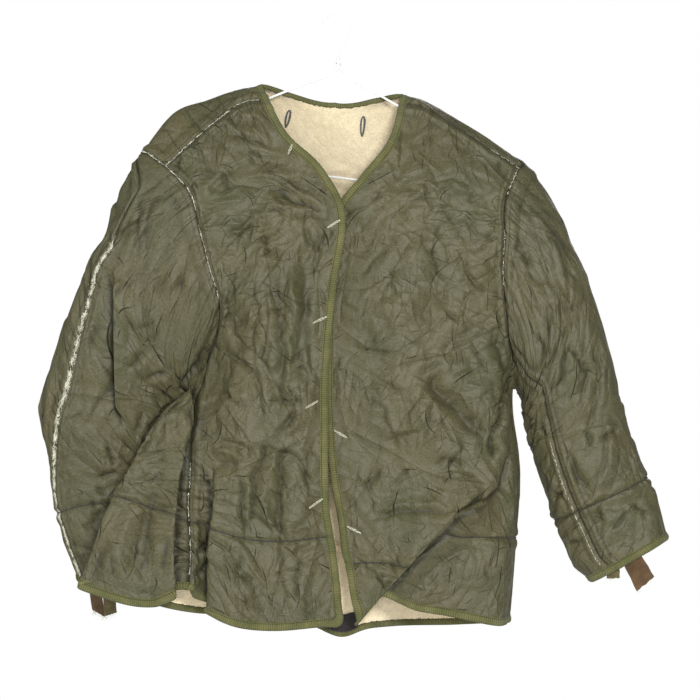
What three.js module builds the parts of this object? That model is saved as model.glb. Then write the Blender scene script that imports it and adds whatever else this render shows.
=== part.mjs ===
// A quilted field jacket liner hanging open-necked on a wire hanger.
// Millimetres, +Z up. The wearer's right is at -X and the fronts face -Y.
// The origin is the point where the hanger's hook bears on its rail.
import * as THREE from 'three';

// ---------- driving dimensions ----------

const clothWall = 3; // shell and pile together
const bindingWidth = 11;
const bindingProud = 1; // how far the tape stands over each face of the cloth
const seamInset = 0.3; // each piece stops this far from a seam line
const underarm = 0.46; // level of the underarm, from hem 0 to shoulder 1
const rowsBelow = 13; // grid rows from hem to underarm
const rowsAbove = 10; // grid rows from underarm to shoulder
const frontColumns = 9;
const neckColumns = 6;
const sleeveRows = 15;
const capLift = 7; // fullness of the sleeve head over the shoulder point
const normalPasses = 2;
const tabThickness = 1.6;
const wireDiameter = 3;
const stepFall = 14; // how quickly a step fold falls away
const hemReach = 0.14; // how far up a panel its hem's dips are felt

// ---------- tables of the garment's form ----------
// Each row is a level of the garment and each named column a guide line: [x, y, z].

const frontRight = {
  side: 'right',
  guides: ['edge', 'middle', 'side'],
  across: [0, 0.5, 1],
  levels: [
    { name: 'hem', at: 0, edge: [1, -60, -798], middle: [-105, -68, -803], side: [-201, -58, -776] },
    { name: 'stitch', at: 0.155, edge: [-6, -58, -684], middle: [-98, -64, -689],
      side: [-190, -53, -664] },
    { name: 'hip', at: 0.28, edge: [-10, -56, -600], middle: [-98, -61, -602], side: [-184, -49, -600] },
    { name: 'waist', at: 0.4, edge: [-10, -55, -512], middle: [-95, -59, -516], side: [-177, -38, -520] },
    { name: 'underarm', at: 0.46, edge: [-9, -55, -465], middle: [-92, -59, -468],
      side: [-169, 4, -461] },
    { name: 'chest', at: 0.595, edge: [0, -54, -365], middle: [-78, -61, -378], side: [-150, -38, -393] },
    { name: 'point', at: 0.73, edge: [12, -52, -264], middle: [-78, -59, -290], side: [-165, -46, -327] },
    { name: 'slope', at: 0.82, edge: [-18, -47, -204], middle: [-96, -53, -238],
      side: [-177, -45, -281] },
    { name: 'collar', at: 0.91, edge: [-64, -35, -158], middle: [-126, -43, -190],
      side: [-189, -40, -236] },
    { name: 'shoulder', at: 1, edge: [-97, 3, -93], middle: [-160, -24, -145], side: [-221, -30, -201] },
  ],
};

const frontLeft = {
  side: 'left',
  guides: ['edge', 'middle', 'turn', 'side'],
  across: [0, 0.45, 0.83, 1],
  levels: [
    { name: 'hem', at: 0, edge: [17, -48, -806], middle: [112, -54, -783], turn: [212, -42, -800],
      side: [229, 5, -798] },
    { name: 'stitch', at: 0.155, edge: [9, -46, -690], middle: [115, -56, -700],
      turn: [222, -40, -694], side: [238, 5, -688] },
    { name: 'hip', at: 0.28, edge: [-6, -45, -600], middle: [112, -57, -603],
      turn: [227, -40, -604], side: [243, 5, -602] },
    { name: 'waist', at: 0.4, edge: [-12, -44, -512], middle: [105, -57, -515],
      turn: [215, -40, -515], side: [233, 4, -515] },
    { name: 'underarm', at: 0.46, edge: [-12, -44, -465], middle: [104, -57, -474],
      turn: [210, -38, -482], side: [234, 5, -483] },
    { name: 'chest', at: 0.595, edge: [-8, -43, -365], middle: [98, -57, -388],
      turn: [193, -45, -408], side: [226, -28, -412] },
    { name: 'point', at: 0.73, edge: [3, -41, -260], middle: [98, -55, -298],
      turn: [188, -47, -333], side: [219, -37, -342] },
    { name: 'slope', at: 0.82, edge: [35, -38, -214], middle: [115, -50, -250],
      turn: [192, -45, -285], side: [221, -37, -294] },
    { name: 'collar', at: 0.91, edge: [71, -32, -167], middle: [135, -40, -200],
      turn: [196, -38, -236], side: [222, -34, -248] },
    { name: 'shoulder', at: 1, edge: [88, 3, -106], middle: [158, -12, -150],
      turn: [214, -15, -182], side: [240, -14, -203] },
  ],
};

const back = {
  side: 'back',
  guides: ['sideRight', 'turnRight', 'bladeRight', 'centre', 'bladeLeft', 'turnLeft', 'sideLeft'],
  across: [0, 0.15, 0.34, 0.55, 0.72, 0.88, 1],
  levels: [
    { name: 'hem', at: 0, sideRight: [-201, -58, -776], turnRight: [-334, -50, -739],
      bladeRight: [-170, 8, -783],
      centre: [3, 36, -803], bladeLeft: [90, 42, -805], turnLeft: [188, 38, -803],
      sideLeft: [229, 5, -798] },
    { name: 'stitch', at: 0.155, sideRight: [-190, -53, -664], turnRight: [-286, -48, -632],
      bladeRight: [-166, 10, -690],
      centre: [2, 37, -700], bladeLeft: [92, 43, -697], turnLeft: [197, 38, -690],
      sideLeft: [238, 5, -688] },
    { name: 'hip', at: 0.28, sideRight: [-184, -49, -600], turnRight: [-262, -44, -586],
      bladeRight: [-165, 12, -600],
      centre: [0, 39, -605], bladeLeft: [94, 45, -605], turnLeft: [202, 40, -603],
      sideLeft: [243, 5, -602] },
    { name: 'waist', at: 0.4, sideRight: [-177, -38, -520], turnRight: [-222, -32, -520],
      bladeRight: [-160, 18, -515],
      centre: [0, 41, -515], bladeLeft: [94, 47, -515], turnLeft: [196, 42, -515],
      sideLeft: [233, 4, -515] },
    { name: 'below arm', at: 0.43, sideRight: [-172, -17, -490], turnRight: [-188, -10, -491],
      bladeRight: [-150, 30, -490],
      centre: [0, 42, -492], bladeLeft: [95, 47, -494], turnLeft: [198, 40, -497],
      sideLeft: [234, 5, -498] },
    { name: 'underarm', at: 0.46, sideRight: [-169, 4, -461], turnRight: [-168, 22, -462],
      bladeRight: [-130, 38, -465],
      centre: [0, 43, -470], bladeLeft: [95, 47, -474], turnLeft: [200, 38, -480],
      sideLeft: [234, 5, -483] },
    { name: 'low blade', at: 0.595, sideRight: [-182, 34, -400], turnRight: [-160, 45, -402],
      bladeRight: [-112, 50, -405],
      centre: [0, 49, -408], bladeLeft: [100, 51, -410], turnLeft: [194, 44, -412],
      sideLeft: [228, 28, -412] },
    { name: 'blade', at: 0.73, sideRight: [-205, 44, -330], turnRight: [-172, 50, -325],
      bladeRight: [-105, 52, -320],
      centre: [0, 49, -320], bladeLeft: [100, 52, -325], turnLeft: [192, 46, -335],
      sideLeft: [232, 36, -338] },
    { name: 'yoke', at: 0.865, sideRight: [-236, 33, -250], turnRight: [-188, 41, -228],
      bladeRight: [-100, 43, -205],
      centre: [0, 40, -215], bladeLeft: [95, 43, -212], turnLeft: [188, 40, -240],
      sideLeft: [242, 26, -258] },
    { name: 'ridge', at: 0.955, sideRight: [-256, 2, -181], turnRight: [-184, 4, -108],
      bladeRight: [-101, 22, -98],
      centre: [0, 29, -148], bladeLeft: [93, 22, -112], turnLeft: [171, 4, -137],
      sideLeft: [252, 3, -197] },
    { name: 'top', at: 1, sideRight: [-221, -30, -201], turnRight: [-162, -24, -147],
      bladeRight: [-97, 3, -93],
      centre: [0, 24, -121], bladeLeft: [88, 3, -106], turnLeft: [164, -15, -153],
      sideLeft: [240, -14, -203] },
  ],
};
const neckRight = 0.34; // where the neckline starts along the back's top
const neckLeft = 0.72;

// A sleeve ring runs from its outer point over the front to its inner point and back.
const sleeveRight = {
  side: 'right',
  seamStart: [-0.05, 0.07], // the outer seam, at the armhole and from the elbow down
  seamMiddle: [0.55, 0.55],
  rings: [
    { at: 0.14, outer: [-305, -2, -297], inner: [-186, 32, -485], deep: 46 },
    { at: 0.28, outer: [-337, 0, -362], inner: [-196, 40, -508], deep: 42 },
    { at: 0.42, outer: [-363, 6, -440], inner: [-214, 40, -533], deep: 36 },
    { at: 0.56, outer: [-383, 14, -520], inner: [-230, 44, -572], deep: 32 },
    { at: 0.7, outer: [-372, 24, -600], inner: [-234, 46, -624], deep: 29 },
    { at: 0.84, outer: [-358, 32, -672], inner: [-238, 48, -684], deep: 26 },
    { at: 0.95, outer: [-340, 37, -722], inner: [-242, 49, -733], deep: 24 },
    { at: 1, outer: [-331, 38, -743], inner: [-245, 50, -756], deep: 23 },
  ],
};

const sleeveLeft = {
  side: 'left',
  seamStart: [-0.1, -0.1],
  seamMiddle: [0.4, 0.4],
  rings: [
    { at: 0.14, outer: [306, 2, -300], inner: [243, 9, -500], deep: 50 },
    { at: 0.28, outer: [336, 4, -376], inner: [248, 14, -527], deep: 46 },
    { at: 0.42, outer: [357, 6, -452], inner: [254, 16, -560], deep: 42 },
    { at: 0.56, outer: [374, 8, -522], inner: [264, 18, -594], deep: 38 },
    { at: 0.7, outer: [398, 8, -586], inner: [281, 18, -643], deep: 34 },
    { at: 0.84, outer: [421, 8, -638], inner: [298, 16, -690], deep: 30 },
    { at: 0.95, outer: [434, 8, -676], inner: [317, 14, -729], deep: 27 },
    { at: 1, outer: [438, 8, -690], inner: [332, 14, -745], deep: 26 },
  ],
};

// Large folds, as lines across the garment seen from the front. Depth is towards the
// viewer. A step keeps its depth on one side of its line and falls away at once on the other.
const frontFolds = [
  { on: 'right', kind: 'round', from: [-176, -600], to: [-172, -812], bow: 0, width: 15,
    depth: [-3, -24], lift: 0.5 },
  { on: 'right', kind: 'round', from: [-72, -330], to: [-60, -800], bow: -14, width: 30,
    depth: [5, 9], lift: 0 },
  { on: 'right', kind: 'round', from: [-118, -380], to: [-128, -800], bow: 10, width: 24,
    depth: [5, 9], lift: 0 },
  { on: 'left', kind: 'step', from: [222, -505], to: [194, -660], bow: 4, width: 50, depth: [6, 10],
    lift: 0 },
  { on: 'left', kind: 'step', from: [212, -610], to: [14, -814], bow: -5, width: 75,
    depth: [10, 17], lift: 0 },
  { on: 'left', kind: 'round', from: [70, -300], to: [130, -560], bow: 12, width: 36, depth: [5, 8],
    lift: 0 },
];
const backFolds = [
  { on: 'back', kind: 'round', from: [-70, -420], to: [-95, -820], bow: 8, width: 34,
    depth: [-4, -10], lift: 0 },
  { on: 'back', kind: 'round', from: [30, -380], to: [40, -820], bow: -8, width: 38,
    depth: [-4, -12], lift: 0 },
  { on: 'back', kind: 'round', from: [135, -430], to: [150, -820], bow: 6, width: 32,
    depth: [-3, -9], lift: 0 },
];

// Where the hem dips below its level line, across each panel.
const hemDips = [
  { on: 'back', at: 0.06, width: 0.055, dip: 22 },
  { on: 'back', at: 0.555, width: 0.03, dip: 15 },
  { on: 'left', at: 0.2, width: 0.12, dip: -14 },
];

const hangerRoute = [
  [-21, 0, -25], [-19, 0, -14], [-12, 0, -3.5], [0, 0, 1.5], [12, 0, -3.5], [19, 0, -16],
  [17, 0, -29], [8, 0, -41], [4, 0, -50], [4, 0, -60], [4, 0, -71],
  [-8, 0, -80], [-40, 0, -92], [-96, 0, -114], [-150, 0, -133], [-186, 0, -150],
  [-197, 0, -168], [-186, 0, -189], [-150, 0, -197], [-70, 0, -206], [20, 0, -217],
  [110, 0, -228], [178, 0, -236], [200, 0, -230], [205, 0, -210], [190, 0, -186],
  [150, 0, -160], [92, 0, -126], [50, 0, -102], [20, 0, -84],
];
const hangerTwist = { turns: 2.5, radius: 3.5, from: -72, to: -58 };

const label = { low: [-18, -796], high: [28, -778], thickness: 0.8 };

// around and drop: the share of the cuff that a tab spans, and how far it hangs out
const tabs = [
  { name: 'cuff_tab_right', sleeve: 'right', around: [0.107, 0.186], drop: 42, lean: 1.5 },
  { name: 'cuff_strip_right', sleeve: 'right', around: [0.193, 0.252], drop: 34, lean: 1 },
  { name: 'cuff_tab_left', sleeve: 'left', around: [0.205, 0.28], drop: 38, lean: 5.5 },
  { name: 'cuff_strip_left', sleeve: 'left', around: [0.295, 0.355], drop: 13, lean: 0 },
];

// ---------- vectors and splines ----------

const add = (a, b) => a.map((value, i) => value + b[i]);
const subtract = (a, b) => a.map((value, i) => value - b[i]);
const scale = (a, k) => a.map((value) => value * k);
const mix = (a, b, t) => a.map((value, i) => value + (b[i] - value) * t);
const cross = (a, b) => [a[1] * b[2] - a[2] * b[1], a[2] * b[0] - a[0] * b[2], a[0] * b[1] - a[1] * b[0]];
const size = (a) => Math.hypot(...a);
const sumOf = (a) => a[0] + a[1] + a[2];
const unit = (a) => scale(a, 1 / (size(a) || 1));
const clamp01 = (t) => Math.min(1, Math.max(0, t));
const smooth = (t) => {
  const s = clamp01(t);
  return s * s * (3 - 2 * s);
};
const blend = (a, b, t) => a + (b - a) * t;
const evenly = (from, to, count) => Array.from({ length: count + 1 }, (_, i) => blend(from, to, i / count));

// A cubic through points at uneven knots, with slopes from each point's neighbours.
function spline(knots, points, t) {
  const last = knots.length - 1;
  let i = 0;
  while (i < last - 1 && t > knots[i + 1]) i += 1;
  const span = knots[i + 1] - knots[i];
  const slope = (j) => {
    const before = Math.max(j - 1, 0);
    const after = Math.min(j + 1, last);
    return scale(subtract(points[after], points[before]), 1 / (knots[after] - knots[before]));
  };
  const s = (t - knots[i]) / span;
  const tangentA = scale(slope(i), span);
  const tangentB = scale(slope(i + 1), span);
  return points[i].map((start, k) => {
    const rise = points[i + 1][k] - start;
    return start + s * tangentA[k]
      + s * s * (3 * rise - 2 * tangentA[k] - tangentB[k])
      + s * s * s * (tangentA[k] + tangentB[k] - 2 * rise);
  });
}

function netPoint(panel, u, v) {
  const rows = panel.levels.map((level) => {
    return spline(panel.across, panel.guides.map((guide) => level[guide]), u);
  });
  return spline(panel.levels.map((level) => level.at), rows, v);
}

// ---------- folds ----------

function foldAt(fold, x, z) {
  const along = [fold.to[0] - fold.from[0], fold.to[1] - fold.from[1]];
  const length = Math.hypot(...along);
  const offset = [x - fold.from[0], z - fold.from[1]];
  const t = (offset[0] * along[0] + offset[1] * along[1]) / (length * length);
  const held = clamp01(t);
  const side = (offset[0] * along[1] - offset[1] * along[0]) / length - fold.bow * 4 * held * (1 - held);
  const ends = smooth(t / 0.2) * (t > 1 ? smooth((1.15 - t) / 0.15) : 1);
  const depth = blend(fold.depth[0], fold.depth[1], held) * ends;
  if (fold.kind === 'round') return depth * Math.exp(-((side / fold.width) ** 2));
  const fall = side > 0 ? fold.width : stepFall;
  return depth * Math.exp(-((side / fall) ** 2));
}

function folded(folds, point, on, fade, towards) {
  const result = [...point];
  for (const fold of folds.filter((each) => each.on === on)) {
    const depth = foldAt(fold, point[0], point[2]) * fade;
    result[1] += towards * depth;
    const nearHem = smooth((-620 - point[2]) / 160);
    result[2] += Math.abs(depth) * fold.lift * nearHem;
  }
  return result;
}

function hemDip(on, u, v) {
  const reach = smooth(1 - v / hemReach);
  const dips = hemDips.filter((each) => each.on === on);
  const fade = on === 'back' ? smooth(u / 0.04) : 1;
  const depths = dips.map((each) => each.dip * Math.exp(-(((u - each.at) / each.width) ** 2)));
  return depths.reduce((sum, depth) => sum + depth, 0) * reach * fade;
}

// ---------- the cloth surfaces ----------

const backTop = (u) => netPoint(back, u, 1);

function shoulderSeam(side, u) {
  return side === 'right' ? backTop(neckRight * (1 - u)) : backTop(blend(neckLeft, 1, u));
}

function frontPoint(panel, u, v) {
  const base = netPoint(panel, u, v);
  const nearTop = smooth((v - 0.88) / 0.12);
  const toSeam = subtract(shoulderSeam(panel.side, u), netPoint(panel, u, 1));
  const seamed = add(base, scale(toSeam, nearTop));
  seamed[2] -= hemDip(panel.side, u, v);
  const fade = smooth((1 - u) / 0.12) * smooth((1 - v) / 0.1);
  return folded(frontFolds, seamed, panel.side, fade, -1);
}

function backPoint(u, v) {
  let point = netPoint(back, u, v);
  if (v < underarm) {
    const nearRight = smooth((0.15 - u) / 0.15);
    const nearLeft = smooth((u - 0.88) / 0.12);
    point = add(point, scale(subtract(frontPoint(frontRight, 1, v), netPoint(back, 0, v)), nearRight));
    point = add(point, scale(subtract(frontPoint(frontLeft, 1, v), netPoint(back, 1, v)), nearLeft));
  }
  point[2] -= hemDip('back', u, v);
  const fade = smooth((u - 0.2) / 0.1) * smooth((1 - u) / 0.12) * smooth((1 - v) / 0.2);
  return folded(backFolds, point, 'back', fade, 1);
}

// The armhole, from the shoulder (0) down the front to the underarm (0.5) and up the back (1).
function armhole(side, around) {
  const turn = ((around % 1) + 1) % 1;
  if (turn <= 0.5) {
    return frontPoint(side === 'right' ? frontRight : frontLeft, 1, blend(1, underarm, turn / 0.5));
  }
  return backPoint(side === 'right' ? 0 : 1, blend(underarm, 1, (turn - 0.5) / 0.5));
}

function ringPoint(ring, around) {
  const centre = mix(ring.outer, ring.inner, 0.5);
  const reach = scale(subtract(ring.outer, ring.inner), 0.5);
  const angle = 2 * Math.PI * around;
  const point = add(centre, scale(reach, Math.cos(angle)));
  point[1] -= ring.deep * Math.sin(angle);
  return point;
}

function sleevePoint(sleeve, around, down) {
  const points = [armhole(sleeve.side, around), ...sleeve.rings.map((ring) => ringPoint(ring, around))];
  const point = spline([0, ...sleeve.rings.map((ring) => ring.at)], points, down);
  const firstRing = sleeve.rings[0].at;
  const nearHead = down < firstRing ? Math.sin(Math.PI * down / firstRing) : 0;
  const cap = nearHead * Math.max(0, Math.cos(2 * Math.PI * around));
  return add(point, scale([sleeve.side === 'right' ? -1 : 1, 0, 0.7], capLift * cap));
}

// ---------- closed walls from grids ----------

const pieces = [];

// cells are quads of point numbers whose order shows the outside anticlockwise
function cloth(name, points, cells, proud = 0, wall = clothWall) {
  pieces.push({ name, points, cells, proud, wall });
}

function gridCells(columns, rows, options = {}) {
  const cells = [];
  const across = options.ring ? columns : columns - 1;
  for (let j = 0; j < rows - 1; j += 1) {
    for (let i = 0; i < across; i += 1) {
      if (options.skip && options.skip(i, j)) continue;
      const next = (i + 1) % columns;
      const cell = [j * columns + i, j * columns + next, (j + 1) * columns + next, (j + 1) * columns + i];
      cells.push(options.flip ? cell.reverse() : cell);
    }
  }
  return cells;
}

function faceNormal(points, cell) {
  return unit(cross(subtract(points[cell[2]], points[cell[0]]), subtract(points[cell[3]], points[cell[1]])));
}

function openEdges(cells) {
  const used = new Map();
  for (const cell of cells) {
    cell.forEach((a, k) => {
      const b = cell[(k + 1) % 4];
      const key = a < b ? `${a}_${b}` : `${b}_${a}`;
      used.set(key, used.has(key) ? null : [a, b]);
    });
  }
  return [...used.values()].filter((edge) => edge);
}

// Each point's normal is shared with every piece that meets it at a seam.
function seamNormals() {
  const sums = [];
  const weldReach = 0.05;
  const borders = [];
  for (const piece of pieces) {
    piece.normals = piece.points.map(() => [0, 0, 0]);
    for (const cell of piece.cells) {
      const normal = faceNormal(piece.points, cell);
      cell.forEach((index) => {
        piece.normals[index] = add(piece.normals[index], normal);
      });
    }
    const onBorder = new Set(openEdges(piece.cells).flat());
    onBorder.forEach((index) => borders.push({ piece, index, own: piece.normals[index] }));
  }
  for (const border of borders) {
    const place = border.piece.points[border.index];
    const met = borders.filter((other) => {
      return size(subtract(other.piece.points[other.index], place)) < weldReach;
    });
    sums.push(met.reduce((sum, other) => add(sum, other.own), [0, 0, 0]));
  }
  borders.forEach((border, k) => {
    border.piece.normals[border.index] = sums[k];
  });
  pieces.forEach(evenNormals);
}

// Turns each inner point's normal towards its neighbours', so that walls don't cross in tight bends.
function evenNormals(piece) {
  const onBorder = new Set(openEdges(piece.cells).flat());
  for (let pass = 0; pass < normalPasses; pass += 1) {
    const sums = piece.normals.map((normal) => unit(normal));
    for (const cell of piece.cells) {
      const around = cell.reduce((sum, index) => add(sum, unit(piece.normals[index])), [0, 0, 0]);
      cell.forEach((index) => {
        sums[index] = add(sums[index], around);
      });
    }
    piece.normals = piece.normals.map((normal, index) => (onBorder.has(index) ? normal : sums[index]));
  }
}

// How far each border point steps back from its seam, square to the border.
function insets(piece, border) {
  const steps = new Map();
  for (const [a, b] of border) {
    const along = unit(subtract(piece.points[b], piece.points[a]));
    for (const index of [a, b]) {
      const inward = unit(cross(unit(piece.normals[index]), along));
      steps.set(index, [...(steps.get(index) || []), inward]);
    }
  }
  steps.forEach((pair, index) => {
    const [first, second = first] = pair;
    const turn = first[0] * second[0] + first[1] * second[1] + first[2] * second[2];
    steps.set(index, scale(add(first, second), seamInset / Math.max(1 + turn, 0.5)));
  });
  return steps;
}

// Walls that meet at a seam split their rims along the same diagonal.
function wallGeometry(piece) {
  const border = openEdges(piece.cells);
  const steps = insets(piece, border);
  const placed = piece.points.map((point, index) => {
    return steps.has(index) ? add(point, steps.get(index)) : point;
  });
  const outer = placed.map((point, index) => add(point, scale(unit(piece.normals[index]), piece.proud)));
  const inner = placed.map((point, index) => {
    return add(point, scale(unit(piece.normals[index]), -piece.wall - piece.proud));
  });
  const count = placed.length;
  const triangles = [];
  for (const [a, b, c, d] of piece.cells) {
    triangles.push(a, b, c, a, c, d);
    triangles.push(count + a, count + c, count + b, count + a, count + d, count + c);
  }
  for (const [a, b] of border) {
    const rising = sumOf(piece.points[b]) > sumOf(piece.points[a]);
    if (rising) triangles.push(b, a, count + b, a, count + a, count + b);
    else triangles.push(b, a, count + a, b, count + a, count + b);
  }
  return closedGeometry([...outer, ...inner], triangles);
}

function closedGeometry(points, triangles) {
  const used = [...new Set(triangles)].sort((a, b) => a - b);
  const place = new Map(used.map((index, k) => [index, k]));
  const geometry = new THREE.BufferGeometry();
  const places = used.flatMap((index) => points[index]);
  geometry.setAttribute('position', new THREE.Float32BufferAttribute(places, 3));
  geometry.setIndex(triangles.map((index) => place.get(index)));
  geometry.computeVertexNormals();
  return geometry;
}

// ---------- panels ----------

const tapeUpHem = 0.015; // the tape's width as a share of hem to shoulder
const tapeUpNeck = 0.018;
const levelsBelow = [0, tapeUpHem, ...evenly(0, underarm, rowsBelow).slice(1)];
const levelsAbove = [...evenly(underarm, 1, rowsAbove).slice(1, -1), 1 - tapeUpNeck, 1];
const levels = [...levelsBelow, ...levelsAbove];

// The tape's width as a share of the way across a front, square to the edge.
function tapeAcross(panel, v) {
  const step = 0.01;
  const start = frontPoint(panel, 0, v);
  const across = subtract(frontPoint(panel, step, v), start);
  const upTo = Math.min(v + step, 1);
  const up = subtract(frontPoint(panel, 0, upTo), frontPoint(panel, 0, upTo - step));
  return bindingWidth * step / (size(cross(across, up)) / size(up));
}

function frontStations(panel, v) {
  const tape = tapeAcross(panel, v);
  return [0, ...evenly(tape, 1, frontColumns)];
}

function addFront(panel, name) {
  const at = (u, v) => frontPoint(panel, u, v);
  const rows = levels.slice(1);
  const points = rows.flatMap((v) => frontStations(panel, v).slice(1).map((u) => at(u, v)));
  const flip = panel.side === 'right';
  cloth(name, points, gridCells(frontColumns + 1, rows.length, { flip }));

  const upEdge = levels.slice(2).reverse().map((v) => [at(0, v), at(tapeAcross(panel, v), v)]);
  const corner = [[at(0.008, 0.004), at(tapeAcross(panel, tapeUpHem), tapeUpHem)]];
  const hemStations = frontStations(panel, tapeUpHem).slice(2);
  const alongHem = hemStations.map((u) => [at(u, 0), at(u, tapeUpHem)]);
  const stations = [...upEdge, ...corner, ...alongHem];
  cloth(`binding_${name}`, stations.flat(), gridCells(2, stations.length, { flip: !flip }), bindingProud);
}

function addBack() {
  const right = frontStations(frontRight, 1).map((u) => neckRight * (1 - u)).reverse();
  const neck = evenly(neckRight, neckLeft, neckColumns).slice(1, -1);
  const left = frontStations(frontLeft, 1).map((u) => blend(neckLeft, 1, u));
  const stations = [...right, ...neck, ...left];
  const rows = levels.slice(1);
  const points = rows.flatMap((v) => stations.map((u) => backPoint(u, v)));
  const underNeck = (i, j) => {
    return j === rows.length - 2 && stations[i] > neckRight - 1e-6 && stations[i + 1] < neckLeft + 1e-6;
  };
  cloth('back', points, gridCells(stations.length, rows.length, { skip: underNeck, flip: true }));

  const hem = [0, tapeUpHem].flatMap((v) => stations.map((u) => backPoint(u, v)));
  cloth('binding_back_hem', hem, gridCells(stations.length, 2, { flip: true }), bindingProud);

  const neckStations = [neckRight, ...neck, neckLeft];
  const collar = [1 - tapeUpNeck, 1].flatMap((v) => neckStations.map((u) => backPoint(u, v)));
  cloth('binding_back_neck', collar, gridCells(neckStations.length, 2, { flip: true }), bindingProud);
}

// ---------- sleeves ----------

const aroundFront = levelsAbove.map((v) => 0.5 * (1 - v) / (1 - underarm)).reverse();
const aroundBack = levelsAbove.map((v) => 0.5 + 0.5 * (v - underarm) / (1 - underarm)).slice(0, -1);
const aroundAll = [...aroundFront, 0.5, ...aroundBack];

function stationsBetween(from, to) {
  const unrolled = [...aroundAll.map((t) => t - 1), ...aroundAll, ...aroundAll.map((t) => t + 1)];
  const inside = unrolled.filter((t) => t > from + 0.012 && t < to - 0.012);
  return [from, ...inside, to];
}

function addSleeve(sleeve) {
  const cuffShare = bindingWidth / 540;
  const elbow = 0.35;
  const seams = (down) => {
    const settle = smooth(down / elbow);
    return [blend(...sleeve.seamStart, settle), blend(...sleeve.seamMiddle, settle)];
  };
  const downs = [...evenly(0, 1, sleeveRows).slice(0, -1), 1 - cuffShare, 1];
  const spans = [
    { name: `sleeve_top_${sleeve.side}`, at: (down) => seams(down) },
    { name: `sleeve_under_${sleeve.side}`, at: (down) => [seams(down)[1], seams(down)[0] + 1] },
  ];
  const flip = sleeve.side === 'right';
  for (const span of spans) {
    const [from, to] = span.at(0);
    const stations = stationsBetween(from, to);
    const points = downs.slice(0, -1).flatMap((down) => {
      const [start, end] = span.at(down);
      return stations.map((t) => sleevePoint(sleeve, blend(start, end, (t - from) / (to - from)), down));
    });
    cloth(span.name, points, gridCells(stations.length, downs.length - 1, { flip }));
  }
  const [start, middle] = seams(1);
  const [start0, middle0] = seams(0);
  const firstHalf = stationsBetween(start0, middle0).map((t) => {
    return blend(start, middle, (t - start0) / (middle0 - start0));
  });
  const secondHalf = stationsBetween(middle0, start0 + 1).map((t) => {
    return blend(middle, start + 1, (t - middle0) / (start0 + 1 - middle0));
  });
  const round = [...firstHalf, ...secondHalf.slice(1, -1)];
  const cuff = [1 - cuffShare, 1].flatMap((down) => round.map((t) => sleevePoint(sleeve, t, down)));
  cloth(`binding_cuff_${sleeve.side}`, cuff, gridCells(round.length, 2, { ring: true, flip }), bindingProud);
}

// A point of a surface, moved in through its wall. outward is 1 where u to v turns anticlockwise.
function inside(surface, u, v, depth, outward) {
  const here = surface(u, v);
  const step = 0.004;
  const across = subtract(surface(u + step, v), surface(u - step, v));
  const up = subtract(surface(u, v + step), surface(u, v - step));
  return subtract(here, scale(unit(cross(across, up)), depth * outward));
}

const trimGap = 0.7;
const trimDepth = clothWall + bindingProud + trimGap;

// A tab is sewn inside the cuff and hangs out of it.
function addTab(tab) {
  const sleeve = tab.sleeve === 'right' ? sleeveRight : sleeveLeft;
  const surface = (around, down) => sleevePoint(sleeve, around, down);
  const outward = sleeve.side === 'right' ? -1 : 1;
  const stations = evenly(tab.around[0], tab.around[1], 3);
  const sewn = [0.95, 0.995].map((down) => {
    return stations.map((t) => inside(surface, t, down, trimDepth, outward));
  });
  const fall = unit([tab.lean, 0, -10]);
  const hanging = [0.5, 1].map((share) => {
    return sewn[1].map((point) => add(point, scale(fall, tab.drop * share)));
  });
  const rows = [...sewn, ...hanging];
  const cells = gridCells(stations.length, rows.length, { flip: outward < 0 });
  cloth(tab.name, rows.flat(), cells, 0, tabThickness);
}

// The patch lies on the inner face of the back, made from the back's own points.
function addLabel() {
  const columns = 4;
  const onBack = (x, z) => {
    let u = 0.55;
    let v = 0.01;
    for (let step = 0; step < 40; step += 1) {
      const here = backPoint(u, v);
      u += (x - here[0]) / 900;
      v += (z - here[2]) / 900;
    }
    return inside(backPoint, u, v, trimDepth + label.thickness, -1);
  };
  const rows = [label.low[1], label.high[1]];
  const stations = evenly(label.low[0], label.high[0], columns - 1);
  const points = rows.flatMap((z) => stations.map((x) => onBack(x, z)));
  cloth('label_patch', points, gridCells(columns, rows.length), 0, label.thickness);
}

// ---------- hanger ----------

function hangerWire() {
  const points = hangerRoute.map(([x, y, z]) => new THREE.Vector3(x, y, z));
  const { turns, radius, from, to } = hangerTwist;
  const steps = 20;
  for (let i = 0; i <= steps; i += 1) {
    const angle = 2 * Math.PI * turns * (i / steps);
    const rise = blend(from, to, i / steps);
    points.push(new THREE.Vector3(4 + radius * Math.cos(angle), radius * Math.sin(angle), rise));
  }
  const circle = new THREE.Shape();
  circle.absarc(0, 0, wireDiameter / 2, 0, 2 * Math.PI, false);
  const path = new THREE.CatmullRomCurve3(points, false, 'centripetal');
  const options = { steps: 170, curveSegments: 4, bevelEnabled: false, extrudePath: path };
  return new THREE.ExtrudeGeometry(circle, options);
}

// ---------- assembly ----------

const shell = { color: 0x6b6a4c, roughness: 0.62, metalness: 0 };
const tape = { color: 0x6f7445, roughness: 0.8, metalness: 0 };
const looks = {
  binding: tape,
  cuff_tab: { color: 0x70492f, roughness: 0.85, metalness: 0 },
  cuff_strip: { color: 0x5d5233, roughness: 0.85, metalness: 0 },
  label: { color: 0x2f2d2b, roughness: 0.7, metalness: 0 },
  hanger: { color: 0xe9e9e4, roughness: 0.35, metalness: 0 },
};

function lookOf(name) {
  const key = Object.keys(looks).find((start) => name.startsWith(start));
  return key ? looks[key] : shell;
}

addFront(frontRight, 'front_right');
addFront(frontLeft, 'front_left');
addBack();
addSleeve(sleeveRight);
addSleeve(sleeveLeft);
tabs.forEach(addTab);
addLabel();
seamNormals();

const liner = new THREE.Group();
function place(name, geometry) {
  const mesh = new THREE.Mesh(geometry, new THREE.MeshStandardMaterial(lookOf(name)));
  mesh.name = name;
  liner.add(mesh);
}
pieces.forEach((piece) => place(piece.name, wallGeometry(piece)));
place('hanger_wire', hangerWire());

export default liner;
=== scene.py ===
import math

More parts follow.
